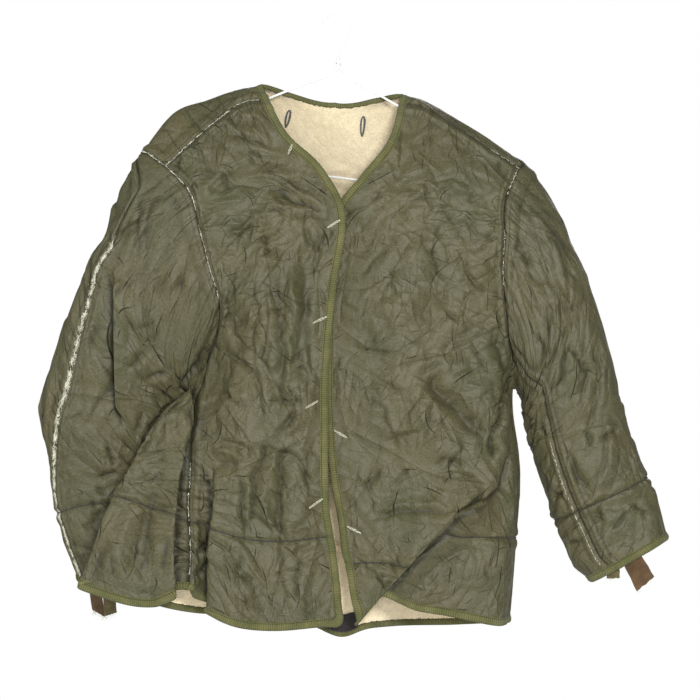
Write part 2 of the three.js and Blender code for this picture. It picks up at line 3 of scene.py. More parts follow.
import bmesh
import bpy
import numpy as np
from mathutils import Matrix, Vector


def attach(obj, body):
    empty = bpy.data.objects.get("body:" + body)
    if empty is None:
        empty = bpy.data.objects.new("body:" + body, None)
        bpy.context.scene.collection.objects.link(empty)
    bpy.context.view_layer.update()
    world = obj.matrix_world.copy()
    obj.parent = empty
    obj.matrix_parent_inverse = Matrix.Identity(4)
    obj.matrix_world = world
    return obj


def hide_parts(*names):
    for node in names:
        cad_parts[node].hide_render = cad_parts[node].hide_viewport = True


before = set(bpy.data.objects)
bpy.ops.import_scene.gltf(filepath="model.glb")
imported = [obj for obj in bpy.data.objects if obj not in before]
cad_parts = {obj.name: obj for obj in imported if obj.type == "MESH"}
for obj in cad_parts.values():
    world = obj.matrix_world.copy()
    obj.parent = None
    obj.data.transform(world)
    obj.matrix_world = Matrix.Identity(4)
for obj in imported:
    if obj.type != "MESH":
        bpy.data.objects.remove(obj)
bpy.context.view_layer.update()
print("frame loaded")

# shape tables: millimetres, z up, fronts face -y, wearer's right at -x

mm = 0.001
clothWall = 2.6
underarm = 0.46
neckRight = 0.34   # where the neckline starts and ends along the back's top
neckLeft = 0.72
neckLine = (  # raises or lowers the neckline along its way, from the right to the left
    (0, 0), (0.1, -2.5), (0.2, -3.5), (0.37, 0.5), (0.55, 5), (0.72, 0.5), (0.86, -2), (1, 0))
cornerRadius = 15.0  # the fronts' lower corners
sleeveNames = {"right": "sleeveRight", "left": "sleeveLeft"}

nets = {
    "right": {"across": [0, 0.5, 1], "levels": [
        (0, (1, -60, -798), (-105, -68, -803), (-201, -58, -776)),
        (0.155, (-6, -58, -684), (-98, -64, -689), (-190, -53, -664)),
        (0.28, (-10, -56, -600), (-98, -61, -602), (-184, -49, -600)),
        (0.4, (-10, -55, -512), (-95, -59, -516), (-177, -38, -520)),
        (0.46, (-9, -55, -465), (-92, -59, -468), (-169, 4, -461)),
        (0.595, (0, -54, -365), (-78, -61, -378), (-150, -38, -393)),
        (0.73, (12, -52, -264), (-78, -59, -290), (-165, -46, -327)),
        (0.82, (-18, -47, -204), (-96, -53, -238), (-177, -45, -281)),
        (0.91, (-64, -35, -158), (-126, -43, -190), (-189, -40, -236)),
        (1, (-97, 3, -93), (-160, -24, -145), (-221, -30, -201))]},
    "left": {"across": [0, 0.45, 0.83, 1], "levels": [
        (0, (17, -48, -806), (112, -54, -783), (212, -42, -800), (229, 5, -798)),
        (0.155, (9, -46, -690), (115, -56, -700), (222, -40, -694), (238, 5, -688)),
        (0.28, (-6, -45, -600), (112, -57, -603), (227, -40, -604), (243, 5, -602)),
        (0.4, (-12, -44, -512), (105, -57, -515), (215, -40, -515), (233, 4, -515)),
        (0.46, (-12, -44, -465), (104, -57, -474), (210, -38, -482), (234, 5, -483)),
        (0.595, (-8, -43, -365), (98, -57, -388), (193, -45, -408), (226, -28, -412)),
        (0.73, (3, -41, -260), (98, -55, -298), (188, -47, -333), (219, -37, -342)),
        (0.82, (35, -38, -214), (115, -50, -250), (192, -45, -285), (221, -37, -294)),
        (0.91, (71, -32, -167), (135, -40, -200), (196, -38, -236), (222, -34, -248)),
        (1, (88, 3, -106), (158, -12, -150), (214, -15, -182), (240, -14, -203))]},
    "back": {"across": [0, 0.15, 0.34, 0.55, 0.72, 0.88, 1], "levels": [
        (0, (-201, -58, -776), (-334, -50, -739), (-170, 8, -783), (3, 36, -803),
         (90, 42, -805), (188, 38, -803), (229, 5, -798)),
        (0.155, (-190, -53, -664), (-286, -48, -632), (-166, 10, -690), (2, 37, -700),
         (92, 43, -697), (197, 38, -690), (238, 5, -688)),
        (0.28, (-184, -49, -600), (-262, -44, -586), (-165, 12, -600), (0, 39, -605),
         (94, 45, -605), (202, 40, -603), (243, 5, -602)),
        (0.4, (-177, -38, -520), (-222, -32, -520), (-160, 18, -515), (0, 41, -515),
         (94, 47, -515), (196, 42, -515), (233, 4, -515)),
        (0.43, (-172, -17, -490), (-188, -10, -491), (-150, 30, -490), (0, 42, -492),
         (95, 47, -494), (198, 40, -497), (234, 5, -498)),
        (0.46, (-169, 4, -461), (-168, 22, -462), (-130, 38, -465), (0, 43, -470),
         (95, 47, -474), (200, 38, -480), (234, 5, -483)),
        (0.595, (-182, 34, -400), (-160, 45, -402), (-112, 50, -405), (0, 49, -408),
         (100, 51, -410), (194, 44, -412), (228, 28, -412)),
        (0.73, (-205, 44, -330), (-172, 50, -325), (-105, 52, -320), (0, 49, -320),
         (100, 52, -325), (192, 46, -335), (232, 36, -338)),
        (0.865, (-236, 33, -250), (-188, 41, -228), (-100, 43, -205), (0, 40, -215),
         (95, 43, -212), (188, 40, -240), (242, 26, -258)),
        (0.955, (-256, 2, -186), (-184, 5, -124), (-101, 22, -103), (0, 29, -148),
         (93, 22, -114), (171, 6, -147), (252, 3, -200)),
        (1, (-221, -30, -201), (-162, -24, -147), (-97, 3, -93), (0, 24, -121),
         (88, 3, -106), (164, -15, -153), (240, -14, -203))]},
}

# a sleeve ring: how far down the sleeve, its outer and inner point, its half depth
sleeves = {
    "right": {"seamStart": ((0, -0.05), (0.13, 0.09), (0.35, 0.12), (0.5, 0.14), (0.6, 0.12),
                            (0.76, 0.05), (0.9, 0.065), (1, 0.08)),
              "seamMiddle": ((0, 0.55),), "rings": [
        (0.14, (-305, -2, -297), (-186, 32, -485), 46),
        (0.28, (-339, 0, -362), (-196, 40, -508), 42),
        (0.42, (-367, 6, -440), (-214, 40, -533), 36),
        (0.56, (-388, 14, -520), (-230, 44, -572), 32),
        (0.7, (-378, 24, -600), (-234, 46, -624), 29),
        (0.84, (-364, 32, -672), (-238, 48, -684), 26),
        (0.95, (-348, 37, -724), (-242, 49, -733), 24),
        (1, (-340, 38, -747), (-245, 50, -757), 23)]},
    "left": {"seamStart": ((0, -0.1),),
             "seamMiddle": ((0, 0.42), (0.14, 0.385), (0.28, 0.335), (0.7, 0.341), (1, 0.322)), "rings": [
        (0.14, (310, 2, -300), (243, 9, -500), 50),
        (0.28, (342, 4, -375), (248, 14, -527), 46),
        (0.42, (363, 6, -451), (254, 16, -560), 42),
        (0.56, (379, 8, -521), (264, 18, -594), 38),
        (0.7, (402, 8, -585), (281, 18, -643), 34),
        (0.84, (424, 8, -637), (298, 16, -690), 30),
        (0.95, (434, 8, -676), (315, 14, -727), 27),
        (1, (438, 8, -690), (338, 14, -747), 26)]},
}
capLift = 7  # how far a sleeve's head stands up at the shoulder

# large folds: panel, kind, from x z, to x z, bow, width, depth at each end, lift
largeFolds = [
    ("right", "round", (-176, -600), (-172, -812), 0, 15, (-3, -24), 0.5),
    ("right", "round", (-72, -330), (-60, -800), -14, 30, (5, 9), 0),
    ("right", "round", (-118, -380), (-128, -800), 10, 24, (5, 9), 0),
    ("left", "step", (222, -505), (194, -660), 4, 50, (6, 10), 0),
    ("left", "step", (212, -610), (14, -814), -5, 75, (10, 17), 0),
    ("left", "round", (70, -300), (130, -560), 12, 36, (5, 8), 0),
    ("back", "round", (-70, -420), (-95, -820), 8, 34, (-4, -10), 0),
    ("back", "round", (30, -380), (40, -820), -8, 38, (-4, -12), 0),
    ("back", "round", (135, -430), (150, -820), 6, 32, (-3, -9), 0),
]
stepFall = 14  # how soon a step fold drops on its steep side

# hem dips: panel, place across, width, depth down
hemDips = [
    ("back", 0.05, 0.055, 30), ("back", 0.13, 0.06, 10), ("back", 0.29, 0.07, 8),
    ("right", 1.0, 0.11, -24), ("back", 0.555, 0.042, 13), ("left", 0.2, 0.12, -24),
    ("left", 0.33, 0.1, -8),
]
hemReach = 0.14  # how far up a dip reaches


def unit(a):
    return a / np.maximum(np.linalg.norm(a, axis=-1, keepdims=True), 1e-9)


def smooth(t):
    s = np.clip(t, 0, 1)
    return s * s * (3 - 2 * s)


def ridge(distance, at, width):
    return np.exp(-((distance - at) / width) ** 2)


def relief(distance, rows):
    # ridges and grooves side by side: where, how wide, how high
    return sum(height * ridge(distance, at, width) for at, width, height in rows)


def blend(a, b, t):
    return a + (b - a) * t


def splineAt(knots, points, t):
    knots = np.asarray(knots, float)
    points = np.broadcast_to(points, (len(knots), len(t), 3))
    last = len(knots) - 1
    i = np.clip(np.searchsorted(knots, t, side="left") - 1, 0, last - 1)
    slopes = np.empty(points.shape)
    for j in range(last + 1):
        before, after = max(j - 1, 0), min(j + 1, last)
        slopes[j] = (points[after] - points[before]) / (knots[after] - knots[before])
    n = np.arange(len(t))
    span = (knots[i + 1] - knots[i])[:, None]
    s = (t - knots[i])[:, None] / span
    start = points[i, n]
    rise = points[i + 1, n] - start
    leave, arrive = slopes[i, n] * span, slopes[i + 1, n] * span
    return (start + s * leave + s * s * (3 * rise - 2 * leave - arrive)
            + s ** 3 * (leave + arrive - 2 * rise))


def netAt(side, u, v):
    net = nets[side]
    rows = [splineAt(net["across"], np.array(level[1:], float)[:, None, :], u)
            for level in net["levels"]]
    return splineAt([level[0] for level in net["levels"]], np.stack(rows), v)


def foldDepth(fold, x, z):
    _, kind, start, end, bow, width, depth, _ = fold
    along = np.array(end, float) - start
    length = np.hypot(*along)
    dx, dz = x - start[0], z - start[1]
    t = (dx * along[0] + dz * along[1]) / length ** 2
    held = np.clip(t, 0, 1)
    side = (dx * along[1] - dz * along[0]) / length - bow * 4 * held * (1 - held)
    ends = smooth(t / 0.2) * np.where(t > 1, smooth((1.15 - t) / 0.15), 1)
    depths = blend(depth[0], depth[1], held) * ends
    fall = width if kind == "round" else np.where(side > 0, width, stepFall)
    return depths * ridge(side, 0, fall)


def folded(point, on, fade, towards):
    result = point.copy()
    for fold in largeFolds:
        if fold[0] == on:
            depth = foldDepth(fold, point[:, 0], point[:, 2]) * fade
            result[:, 1] += towards * depth
            result[:, 2] += np.abs(depth) * fold[7] * smooth((-620 - point[:, 2]) / 160)
    return result


def hemDip(on, u, v):
    fade = smooth(u / 0.04) if on == "back" else 1
    total = relief(u, [row[1:] for row in hemDips if row[0] == on])
    return total * smooth(1 - v / hemReach) * fade


def shoulderSeam(side, u):
    top = neckRight * (1 - u) if side == "right" else blend(neckLeft, 1, u)
    return netAt("back", top, np.ones_like(u))


# how far the front edges swing sideways towards the hem, and how near the back comes to the opening
edgeSwing = {"right": ((0, 8), (0.06, 8), (0.1, 6.5), (0.14, 4.5), (0.2, 0)),
             "left": ((0, 7), (0.06, 6.5), (0.1, 4), (0.14, -1), (0.2, 0))}
backForward = 44   # near the opening
seamSwing = 12     # the right side seam's foot, towards the middle
shoulderRise = 15  # the right shoulder stands up near the sleeve


def frontAt(side, u, v):
    nearTop = smooth((v - 0.88) / 0.12)[:, None]
    toSeam = shoulderSeam(side, u) - netAt(side, u, np.ones_like(u))
    point = netAt(side, u, v) + toSeam * nearTop
    point[:, 0] += np.interp(v, *zip(*edgeSwing[side])) * smooth((0.35 - u) / 0.35)
    if side == "right":
        point[:, 0] += seamSwing * smooth((u - 0.88) / 0.12) * smooth((0.22 - v) / 0.22)
    point[:, 2] -= hemDip(side, u, v)
    fade = smooth((1 - u) / 0.12) * smooth((1 - v) / 0.1)
    return folded(point, side, fade, -1)


def backAt(u, v):
    point = netAt("back", u, v)
    low = v < underarm
    for side, edge, near in (("right", 0.0, smooth((0.15 - u) / 0.15)),
                             ("left", 1.0, smooth((u - 0.88) / 0.12))):
        pick = low & (near > 0)
        if pick.any():
            ends = np.full(pick.sum(), edge)
            gap = frontAt(side, np.ones(pick.sum()), v[pick]) - netAt("back", ends, v[pick])
            point[pick] += gap * near[pick][:, None]
    point[:, 2] -= hemDip("back", u, v)
    point[:, 1] -= backForward * ridge(point[:, 0], 12, 62) * smooth((0.46 - v) / 0.24)
    rise = ridge(point[:, 0], -216, 32) * ridge(v, 0.95, 0.035) * smooth((1 - v) / 0.03)
    point[:, 2] += shoulderRise * rise
    alongNeck = (u - neckRight) / (neckLeft - neckRight)
    point[:, 2] += np.interp(alongNeck, *zip(*neckLine)) * smooth((v - 0.86) / 0.14)
    fade = smooth((u - 0.2) / 0.1) * smooth((1 - u) / 0.12) * smooth((1 - v) / 0.2)
    return folded(point, "back", fade, 1)


def armholeAt(side, around):
    turn = np.mod(around, 1)
    result = np.empty((len(around), 3))
    fore = turn <= 0.5
    if fore.any():
        result[fore] = frontAt(side, np.ones(fore.sum()), blend(1, underarm, turn[fore] / 0.5))
    if (~fore).any():
        edge = np.full((~fore).sum(), 0.0 if side == "right" else 1.0)
        result[~fore] = backAt(edge, blend(underarm, 1, (turn[~fore] - 0.5) / 0.5))
    return result


def sleeveAt(side, around, down):
    rings = sleeves[side]["rings"]
    angle = 2 * math.pi * around
    rows = [armholeAt(side, around)]
    for _, outer, inner, deep in rings:
        outer, inner = np.array(outer, float), np.array(inner, float)
        ring = (outer + inner) / 2 + (outer - inner) / 2 * np.cos(angle)[:, None]
        ring[:, 1] -= deep * np.sin(angle)
        rows.append(ring)
    point = splineAt([0] + [ring[0] for ring in rings], np.stack(rows), down)
    head = rings[0][0]
    lift = np.where(down < head, np.sin(math.pi * np.clip(down / head, 0, 1)), 0)
    lift = lift * np.maximum(0, np.cos(angle)) * capLift
    lean = np.array([-1 if side == "right" else 1, 0, 0.7])
    return point + lift[:, None] * lean


def sleeveSeams(side, down):
    return tuple(np.interp(down, *zip(*sleeves[side][seam])) for seam in ("seamStart", "seamMiddle"))


# crumples: seeded noise, and creases listed where the cloth shows them

def cornerAngle(ix, iy, seed):
    n = (ix * 374761393 + iy * 668265263 + seed * 1274126177) & 0xFFFFFFFF
    n = ((n ^ (n >> 13)) * 1103515245) & 0xFFFFFFFF
    return ((n ^ (n >> 16)) & 0xFFFFFF) * (2 * math.pi / 0xFFFFFF)


def noiseAt(x, y, seed):
    ix, iy = np.floor(x).astype(np.int64), np.floor(y).astype(np.int64)
    fx, fy = x - ix, y - iy

    def corner(dx, dy):
        angle = cornerAngle(ix + dx, iy + dy, seed)
        return np.cos(angle) * (fx - dx) + np.sin(angle) * (fy - dy)

    sx, sy = fx ** 3 * (fx * (fx * 6 - 15) + 10), fy ** 3 * (fy * (fy * 6 - 15) + 10)
    low = blend(corner(0, 0), corner(1, 0), sx)
    high = blend(corner(0, 1), corner(1, 1), sx)
    return 1.5 * blend(low, high, sy)


# short straight creases: spacing, width, depth, lean in degrees, spread, how many are there
shortCreases = [
    (84, 4.2, 2.8, 70, 40, 0.8), (60, 3.6, 2.3, 40, 50, 0.7), (44, 3.0, 1.6, -50, 50, 0.6),
]
softHills = [(110, 1.5, 3.2), (52, 1.4, 1.3)]  # size across, longer upward, height
# flowing wrinkles: size across, how much longer, lean, depth
wrinkles = [(66, 3.0, -28, 2.0), (44, 3.4, 14, 1.3), (32, 3.4, -64, 0.9)]


def shortCreaseAt(x, y, row, seed):
    size, width, depth, lean, spread, share = row
    ix, iy = np.floor(x / size).astype(np.int64), np.floor(y / size).astype(np.int64)
    height, paintedShading = np.zeros(len(x)), np.zeros(len(x))
    for dx in (-1, 0, 1):
        for dy in (-1, 0, 1):
            draws = [cornerAngle(ix + dx, iy + dy, seed + k) / (2 * math.pi) for k in range(6)]
            turn = np.radians(lean + (draws[2] - 0.5) * 2 * spread)
            localX, localY = x - (ix + dx + draws[0]) * size, y - (iy + dy + draws[1]) * size
            along = localX * np.cos(turn) + localY * np.sin(turn)
            across = -localX * np.sin(turn) + localY * np.cos(turn)
            reach = size * (0.25 + 0.6 * draws[3])
            across += (draws[4] - 0.5) * 1.1 * along ** 2 / reach
            taper = smooth((1 - np.abs(along) / reach) * 1.7) * (draws[5] < share) * (0.5 + 0.5 * draws[4])
            roll = smooth(0.5 + 0.5 * across / width) * ridge(np.maximum(across, 0), 0, 3.4 * width)
            trough = ridge(across, -0.9 * width, 1.1 * width)
            height += depth * taper * (roll - 0.5 * trough)
            # painted shade at the foot of each short crease
            dark = ridge(across, -0.5 * width, 0.45 * width)
            paintedShading = np.maximum(paintedShading, taper * dark * depth / 3.6)
    return height, paintedShading


def crumpleAt(flat, seed):
    x, y = flat[:, 0], flat[:, 1]
    flowX = x + noiseAt(x / 130, y / 130, seed + 1) * 30 + noiseAt(x / 40, y / 40, seed + 2) * 2
    flowY = y + noiseAt(x / 130, y / 130, seed + 3) * 30 + noiseAt(x / 40, y / 40, seed + 4) * 2
    height, paintedShading = np.zeros(len(x)), np.zeros(len(x))
    for k, (size, runs, rise) in enumerate(softHills):
        height += rise * noiseAt(x / size, y / (size * runs), seed + 5 + k)
    for k, (size, runs, lean, depth) in enumerate(wrinkles):
        turn = math.radians(lean)
        across = (flowX * math.cos(turn) + flowY * math.sin(turn)) / size
        along = (-flowX * math.sin(turn) + flowY * math.cos(turn)) / (size * runs)
        fold = np.abs(noiseAt(across, along, seed + 10 + k))
        patch = smooth(noiseAt(x / 42 + k * 7, y / 42, seed + 60 + k) * 2.0 + 0.35)
        height += depth * patch * (np.minimum(fold * 2.2, 1) ** 0.8 - 0.6)
        # painted shade along the bottom of each wrinkle
        paintedShading = np.maximum(paintedShading, patch * ridge(fold, 0, 0.03) * depth / 14)
    x = x + noiseAt(x / 35, y / 35, seed + 6) * 4
    y = y + noiseAt(x / 35, y / 35, seed + 7) * 4
    for k, row in enumerate(shortCreases):
        rise, dark = shortCreaseAt(x, y, row, seed + 20 + 10 * k)
        height, paintedShading = height + rise, np.maximum(paintedShading, 0.8 * dark)
    return height, paintedShading


# creases on the side that faces front: width, depth (minus is a trough), then x and z
frontCreases = [
    (5, -3.5, -140, -152, -127, -162, -104, -164, -85, -178),
    (5, -3, -155, -125, -137, -138), (4, -2.5, -168, -131, -163, -144),
    (7, -4, -95, -221, -56, -247, -20, -260, 2, -266),
    (6, -3, -85, -208, -39, -234, 0, -252), (5, -3, -74, -262, -36, -268, 0, -270),
    (6, 4.5, -99, -262, -124, -286, -147, -297), (6, 4, -99, -262, -107, -305),
    (6, -4, -92, -256, -62, -262), (5, -3, -104, -299, -72, -294),
    (5, -3, -100, -322, -70, -312), (5, -3, -95, -288, -85, -327),
    (5, -3.5, -12, -282, -14, -305, 3, -299), (5, -3, -42, -282, -22, -312, -27, -322),
    (13, -4, -65, -312, -75, -377, -68, -455, -78, -533),
    (10, -3, -44, -305, -39, -377, -48, -442, -40, -500),
    (10, 2.5, -57, -320, -58, -390, -59, -460, -66, -540),
    (9, -3, -28, -325, -36, -377, -32, -481, -42, -507),
    (8, -4, -85, -542, -104, -611, -108, -685), (8, -4, -56, -552, -72, -591, -75, -663, -69, -689),
    (10, 3, -66, -548, -88, -611, -92, -680), (6, -3.5, -117, -591, -121, -650, -114, -689),
    (8, 3, -160, -576, -139, -571, -118, -584), (7, -3, -155, -589, -137, -587, -123, -600),
    (6, -5, -160, -588, -156, -624, -162, -656), (5, -4, -173, -682, -189, -741),
    (5, -3.5, -166, -689, -190, -715), (5, -3.5, -166, -712, -196, -748),
    (5, -3.5, -91, -435, -101, -455), (6, -4, -153, -490, -127, -509, -112, -512),
    (5, -4, -46, -520, -66, -507, -84, -503), (5, -3.5, -46, -520, -60, -541),
    (5, -3.5, -46, -520, -88, -562), (5, -3, -46, -520, -62, -480),
    (5, -3, -130, -734, -98, -741), (5, -3, -72, -656, -65, -692),
    (5, -3, -36, -700, -50, -735, -40, -770), (6, -3.5, -70, -700, -78, -745),
    (6, -3, -120, -700, -128, -760), (6, -3.5, -20, -545, -36, -600, -28, -660),
    (5, -2.5, -130, -330, -140, -385, -132, -430), (6, -3, -110, -340, -100, -400, -108, -440),
    (5, -3, -150, -205, -140, -235), (5, -2.5, -120, -190, -98, -200),
    (6, -3, -165, -405, -128, -372), (5, -3, -150, -440, -108, -470, -96, -500),
    # left front
    (6, -1.8, 87, -136, 85, -217), (5, -2.1, 61, -188, 81, -201), (5, -1.5, 70, -172, 92, -178),
    (5, -2.1, 111, -214, 120, -230, 113, -247), (7, -2.4, 208, -186, 229, -223),
    (6, -2.4, 163, -266, 191, -292, 215, -299), (6, -2.4, 156, -305, 182, -357, 208, -377),
    (7, 2.4, 152, -300, 172, -352, 196, -377), (6, -2.4, 120, -273, 117, -299, 137, -338, 150, -351),
    (5, -1.8, 78, -299, 52, -322, 29, -353), (5, -1.8, 60, -225, 45, -252), (5, -1.8, 48, -262, 30, -290),
    (5, -1.8, 7, -383, 33, -392), (5, -3.5, 143, -390, 163, -405), (6, -4, -2, -448, 16, -481),
    (5, -3, 33, -442, 78, -444), (5, -1.8, 66, -350, 84, -378), (5, -1.5, 102, -330, 92, -372),
    (17, -9, 104, -458, 131, -490, 165, -522, 204, -560), (12, -3, 160, -524, 186, -552, 204, -572),
    (7, -9, 205, -548, 204, -582),
    (7, -7, 236, -461, 217, -513, 209, -542, 205, -565), (7, -11, 198, -620, 176, -642, 152, -654),
    (6, -3.5, 126, -598, 140, -582, 163, -590, 160, -600),
    (6, -4, 39, -663, 87, -652, 126, -650, 163, -643), (5, -3.5, 42, -656, 98, -642, 143, -635),
    (7, 4, 50, -650, 100, -642, 150, -636), (7, -5, 208, -630, 226, -590, 238, -552),
    (6, -4, 163, -650, 200, -632, 228, -620), (5, -3, 30, -500, 60, -520, 78, -560),
    (5, -3, 52, -480, 92, -500), (5, -3, 60, -560, 118, -545), (5, -3, 100, -590, 72, -622),
    (5, -3, 112, -470, 140, -455), (5, -3, 178, -430, 200, -470), (6, -3.5, 60, -590, 34, -630),
    (6, -3.5, 206, -420, 222, -470, 214, -510), (5, -2.5, 160, -700, 150, -740),
    (5, -2.5, 190, -715, 205, -750), (5, -3, 44, -722, 60, -755), (5, -3, 80, -700, 66, -730),
    (5, -3, 130, -520, 112, -560), (5, -1.8, 150, -230, 142, -262), (5, -1.5, 190, -232, 172, -252),
    # left sleeve
    (6, -2.4, 224, -325, 262, -318), (5, -2.1, 224, -325, 265, -348), (5, -2.1, 224, -325, 245, -298),
    (7, -2.7, 237, -286, 250, -325, 260, -347), (6, -4, 302, -435, 322, -460, 341, -483),
    (5, -3.5, 328, -542, 334, -572), (6, -4, 308, -572, 319, -611, 338, -630),
    (9, -7, 230, -429, 238, -457, 268, -478), (6, -4, 364, -678, 386, -652),
    (7, -2.4, 268, -380, 300, -392, 330, -372), (6, -2.1, 300, -330, 320, -352),
    (7, -4, 284, -500, 300, -470, 296, -430), (6, -3.5, 345, -560, 372, -548),
    (6, -3.5, 258, -420, 286, -456), (5, -3, 350, -640, 342, -672), (5, -3, 392, -640, 410, -664),
    (6, -3.5, 262, -540, 288, -560), (6, -4, 284, -640, 300, -622), (5, -3, 300, -700, 322, -694),
    (6, -3.5, 320, -500, 332, -470), (5, -1.8, 262, -300, 288, -290),
    # right sleeve
    (6, -4, -260, -234, -255, -260, -261, -279, -251, -325),
    (6, -4, -246, -227, -244, -253, -247, -286, -244, -325),
    (5, -3.5, -186, -253, -215, -244), (5, -3.5, -186, -253, -212, -260),
    (5, -3.5, -199, -331, -202, -370), (6, -4, -202, -509, -228, -522),
    (6, -4.5, -316, -608, -283, -604), (6, -4, -303, -650, -335, -682),
    (6, -4, -300, -632, -322, -620), (6, -3.5, -230, -400, -262, -420), (7, -4, -215, -470, -250, -480),
    (6, -3.5, -312, -400, -322, -450), (6, -3.5, -222, -340, -236, -372), (6, -4, -245, -440, -272, -470),
    (6, -4, -300, -560, -292, -600), (5, -3, -325, -640, -312, -662), (6, -4, -250, -520, -262, -552),
    (5, -3, -270, -210, -278, -232), (5, -3, -300, -280, -292, -312), (5, -3, -330, -520, -348, -540),
    (5, -3, -280, -380, -268, -350), (5, -3.5, -238, -552, -256, -580),
    (8, -8, -166, -429, -179, -461, -198, -482, -212, -500), (7, -12, -214, -508, -232, -532, -247, -556),
    # standing fold of the back
    (15, -6, -226, -600, -246, -680, -250, -760), (13, 4, -262, -640, -284, -700, -300, -745),
    (12, -5, -296, -690, -312, -730, -322, -752),
    (6, -5, -202, -500, -192, -540, -204, -590), (7, -4, -240, -640, -256, -690, -262, -740),
    (6, -4, -222, -600, -250, -616), (6, -3.5, -284, -700, -290, -745), (5, -3, -230, -560, -222, -590),
    (6, -4, -222, -676, -226, -740), (5, -3, -240, -760, -262, -758), (5, -3, -206, -700, -210, -750),
]
backCreases = [
    (8, -4, -150, -150, -130, -200, -140, -250), (7, -4, 150, -170, 128, -220, 138, -270),
    (7, -3.5, -40, -160, -52, -230, -44, -300), (7, -3.5, 30, -165, 46, -240, 36, -310),
    (9, -5, -190, -330, -130, -372, -60, -396), (8, -4, -176, -370, -120, -420, -70, -438),
    (9, -5, 216, -340, 150, -384, 70, -402), (8, -4, 214, -390, 160, -432, 100, -446),
    (8, -4, -90, -470, -40, -486, 20, -480), (8, -4, 40, -530, 100, -516, 160, -530),
    (7, -3.5, -120, -540, -70, -566, -30, -560), (8, -4, -70, -600, -78, -660, -72, -720),
    (8, -4, 26, -590, 34, -660, 30, -730), (8, -4, 120, -600, 130, -670, 124, -740),
    (7, -3.5, -10, -640, -18, -700), (7, -3.5, 70, -620, 80, -690), (7, -3.5, 180, -600, 186, -660),
    (6, -3, -20, -200, 20, -206), (6, -3, -80, -240, -110, -280), (6, -3, 80, -250, 112, -290),
    (7, -4, -210, -330, -262, -372), (7, -4, -216, -380, -280, -402), (8, -5, -250, -470, -340, -486),
    (7, -4, -246, -520, -330, -540), (6, -3.5, -290, -560, -350, -576), (6, -3.5, -262, -640, -300, -652),
    (7, -4, 240, -330, 300, -362), (7, -4, 246, -390, 310, -410), (8, -5, 282, -500, 352, -480),
    (7, -4, 290, -560, 372, -530), (6, -3.5, 320, -600, 380, -590), (6, -3.5, 340, -680, 372, -650),
    (6, -3, -150, -290, -170, -330), (6, -3, 160, -300, 184, -340), (6, -3, 0, -420, 40, -440),
    (6, -3, -60, -520, -20, -500), (6, -3, 160, -480, 190, -450), (6, -3, -140, -450, -110, -500),
]

# laps, where one layer lies over the next: x and z along the edge, which side lies on top
# (1 is to the left of the line as it runs), how far it slides at each end, rise, reach,
# share of its length over which it fades in, whether it runs out over the hem
laps = [
    (((226, -560), (214, -589), (205, -616), (187, -635), (156, -653), (140, -674), (105, -712),
      (60, -760), (14, -812)), -1, (5, 15), 5, 15, 0.55, True),
    (((-160, -585), (-157, -640), (-163, -690), (-165, -775)), 1, (6, 12), 7, 12, 0.2, True),
    (((-290, -322), (-289, -430), (-287, -515), (-266, -556)), 1, (9, 13), 9, 13, 0.2, False),
    (((-193, -478), (-185, -513), (-184, -535), (-194, -568), (-203, -612), (-209, -676),
      (-210, -704), (-207, -762)), -1, (11, 13), 10, 14, 0.1, True),
]


def nearLine(points, x, z):
    best, along, side = np.full(len(x), 1e9), np.zeros(len(x)), np.zeros(len(x))
    turnX, turnZ = np.zeros(len(x)), np.zeros(len(x))
    total = sum(math.dist(a, b) for a, b in zip(points, points[1:]))
    run = 0
    for (x0, z0), (x1, z1) in zip(points, points[1:]):
        dx, dz = x1 - x0, z1 - z0
        length = math.hypot(dx, dz)
        t = np.clip(((x - x0) * dx + (z - z0) * dz) / length ** 2, 0, 1)
        distance = np.hypot(x - x0 - t * dx, z - z0 - t * dz)
        closer = distance < best
        best = np.where(closer, distance, best)
        along = np.where(closer, (run + t * length) / total, along)
        leftward = (dx * (z - z0) - dz * (x - x0)) / length
        side = np.where(closer, np.sign(leftward) * distance, side)
        turnX, turnZ = np.where(closer, dz / length, turnX), np.where(closer, -dx / length, turnZ)
        run += length
    return best, along, side, turnX, turnZ


def creasesAt(rows, x, z, seed):
    height, paintedShading = np.zeros(len(x)), np.zeros(len(x))
    bentX = x + noiseAt(x / 22, z / 22, seed) * 4 + noiseAt(x / 9, z / 9, seed + 2) * 1.2
    bentZ = z + noiseAt(x / 22, z / 22, seed + 1) * 4 + noiseAt(x / 9, z / 9, seed + 3) * 1.2
    for width, depth, *spots in rows:
        points = list(zip(spots[0::2], spots[1::2]))
        reach = 5 * width
        near = ((bentX > min(spots[0::2]) - reach) & (bentX < max(spots[0::2]) + reach)
                & (bentZ > min(spots[1::2]) - reach) & (bentZ < max(spots[1::2]) + reach))
        if not near.any():
            continue
        distance, along, side, _, _ = nearLine(points, bentX[near], bentZ[near])
        taper = smooth(along / 0.3) * smooth((1 - along) / 0.3)
        bank = ridge(side, 1.7 * width, 1.2 * width) + 0.5 * ridge(side, -1.9 * width, 1.4 * width)
        height[near] += 1.25 * depth * taper * (ridge(distance, 0, 0.55 * width) - 0.4 * bank)
        dark = ridge(distance, 0, 0.34 * width) * min(abs(depth) / 5, 1.1) * min(1, 9 / width)
        # painted shade along each trough; along a raised crease it goes below zero, a painted highlight
        if depth < 0:
            paintedShading[near] = np.maximum(paintedShading[near], taper * dark)
        else:
            paintedShading[near] -= 0.3 * taper * dark
    return height, paintedShading


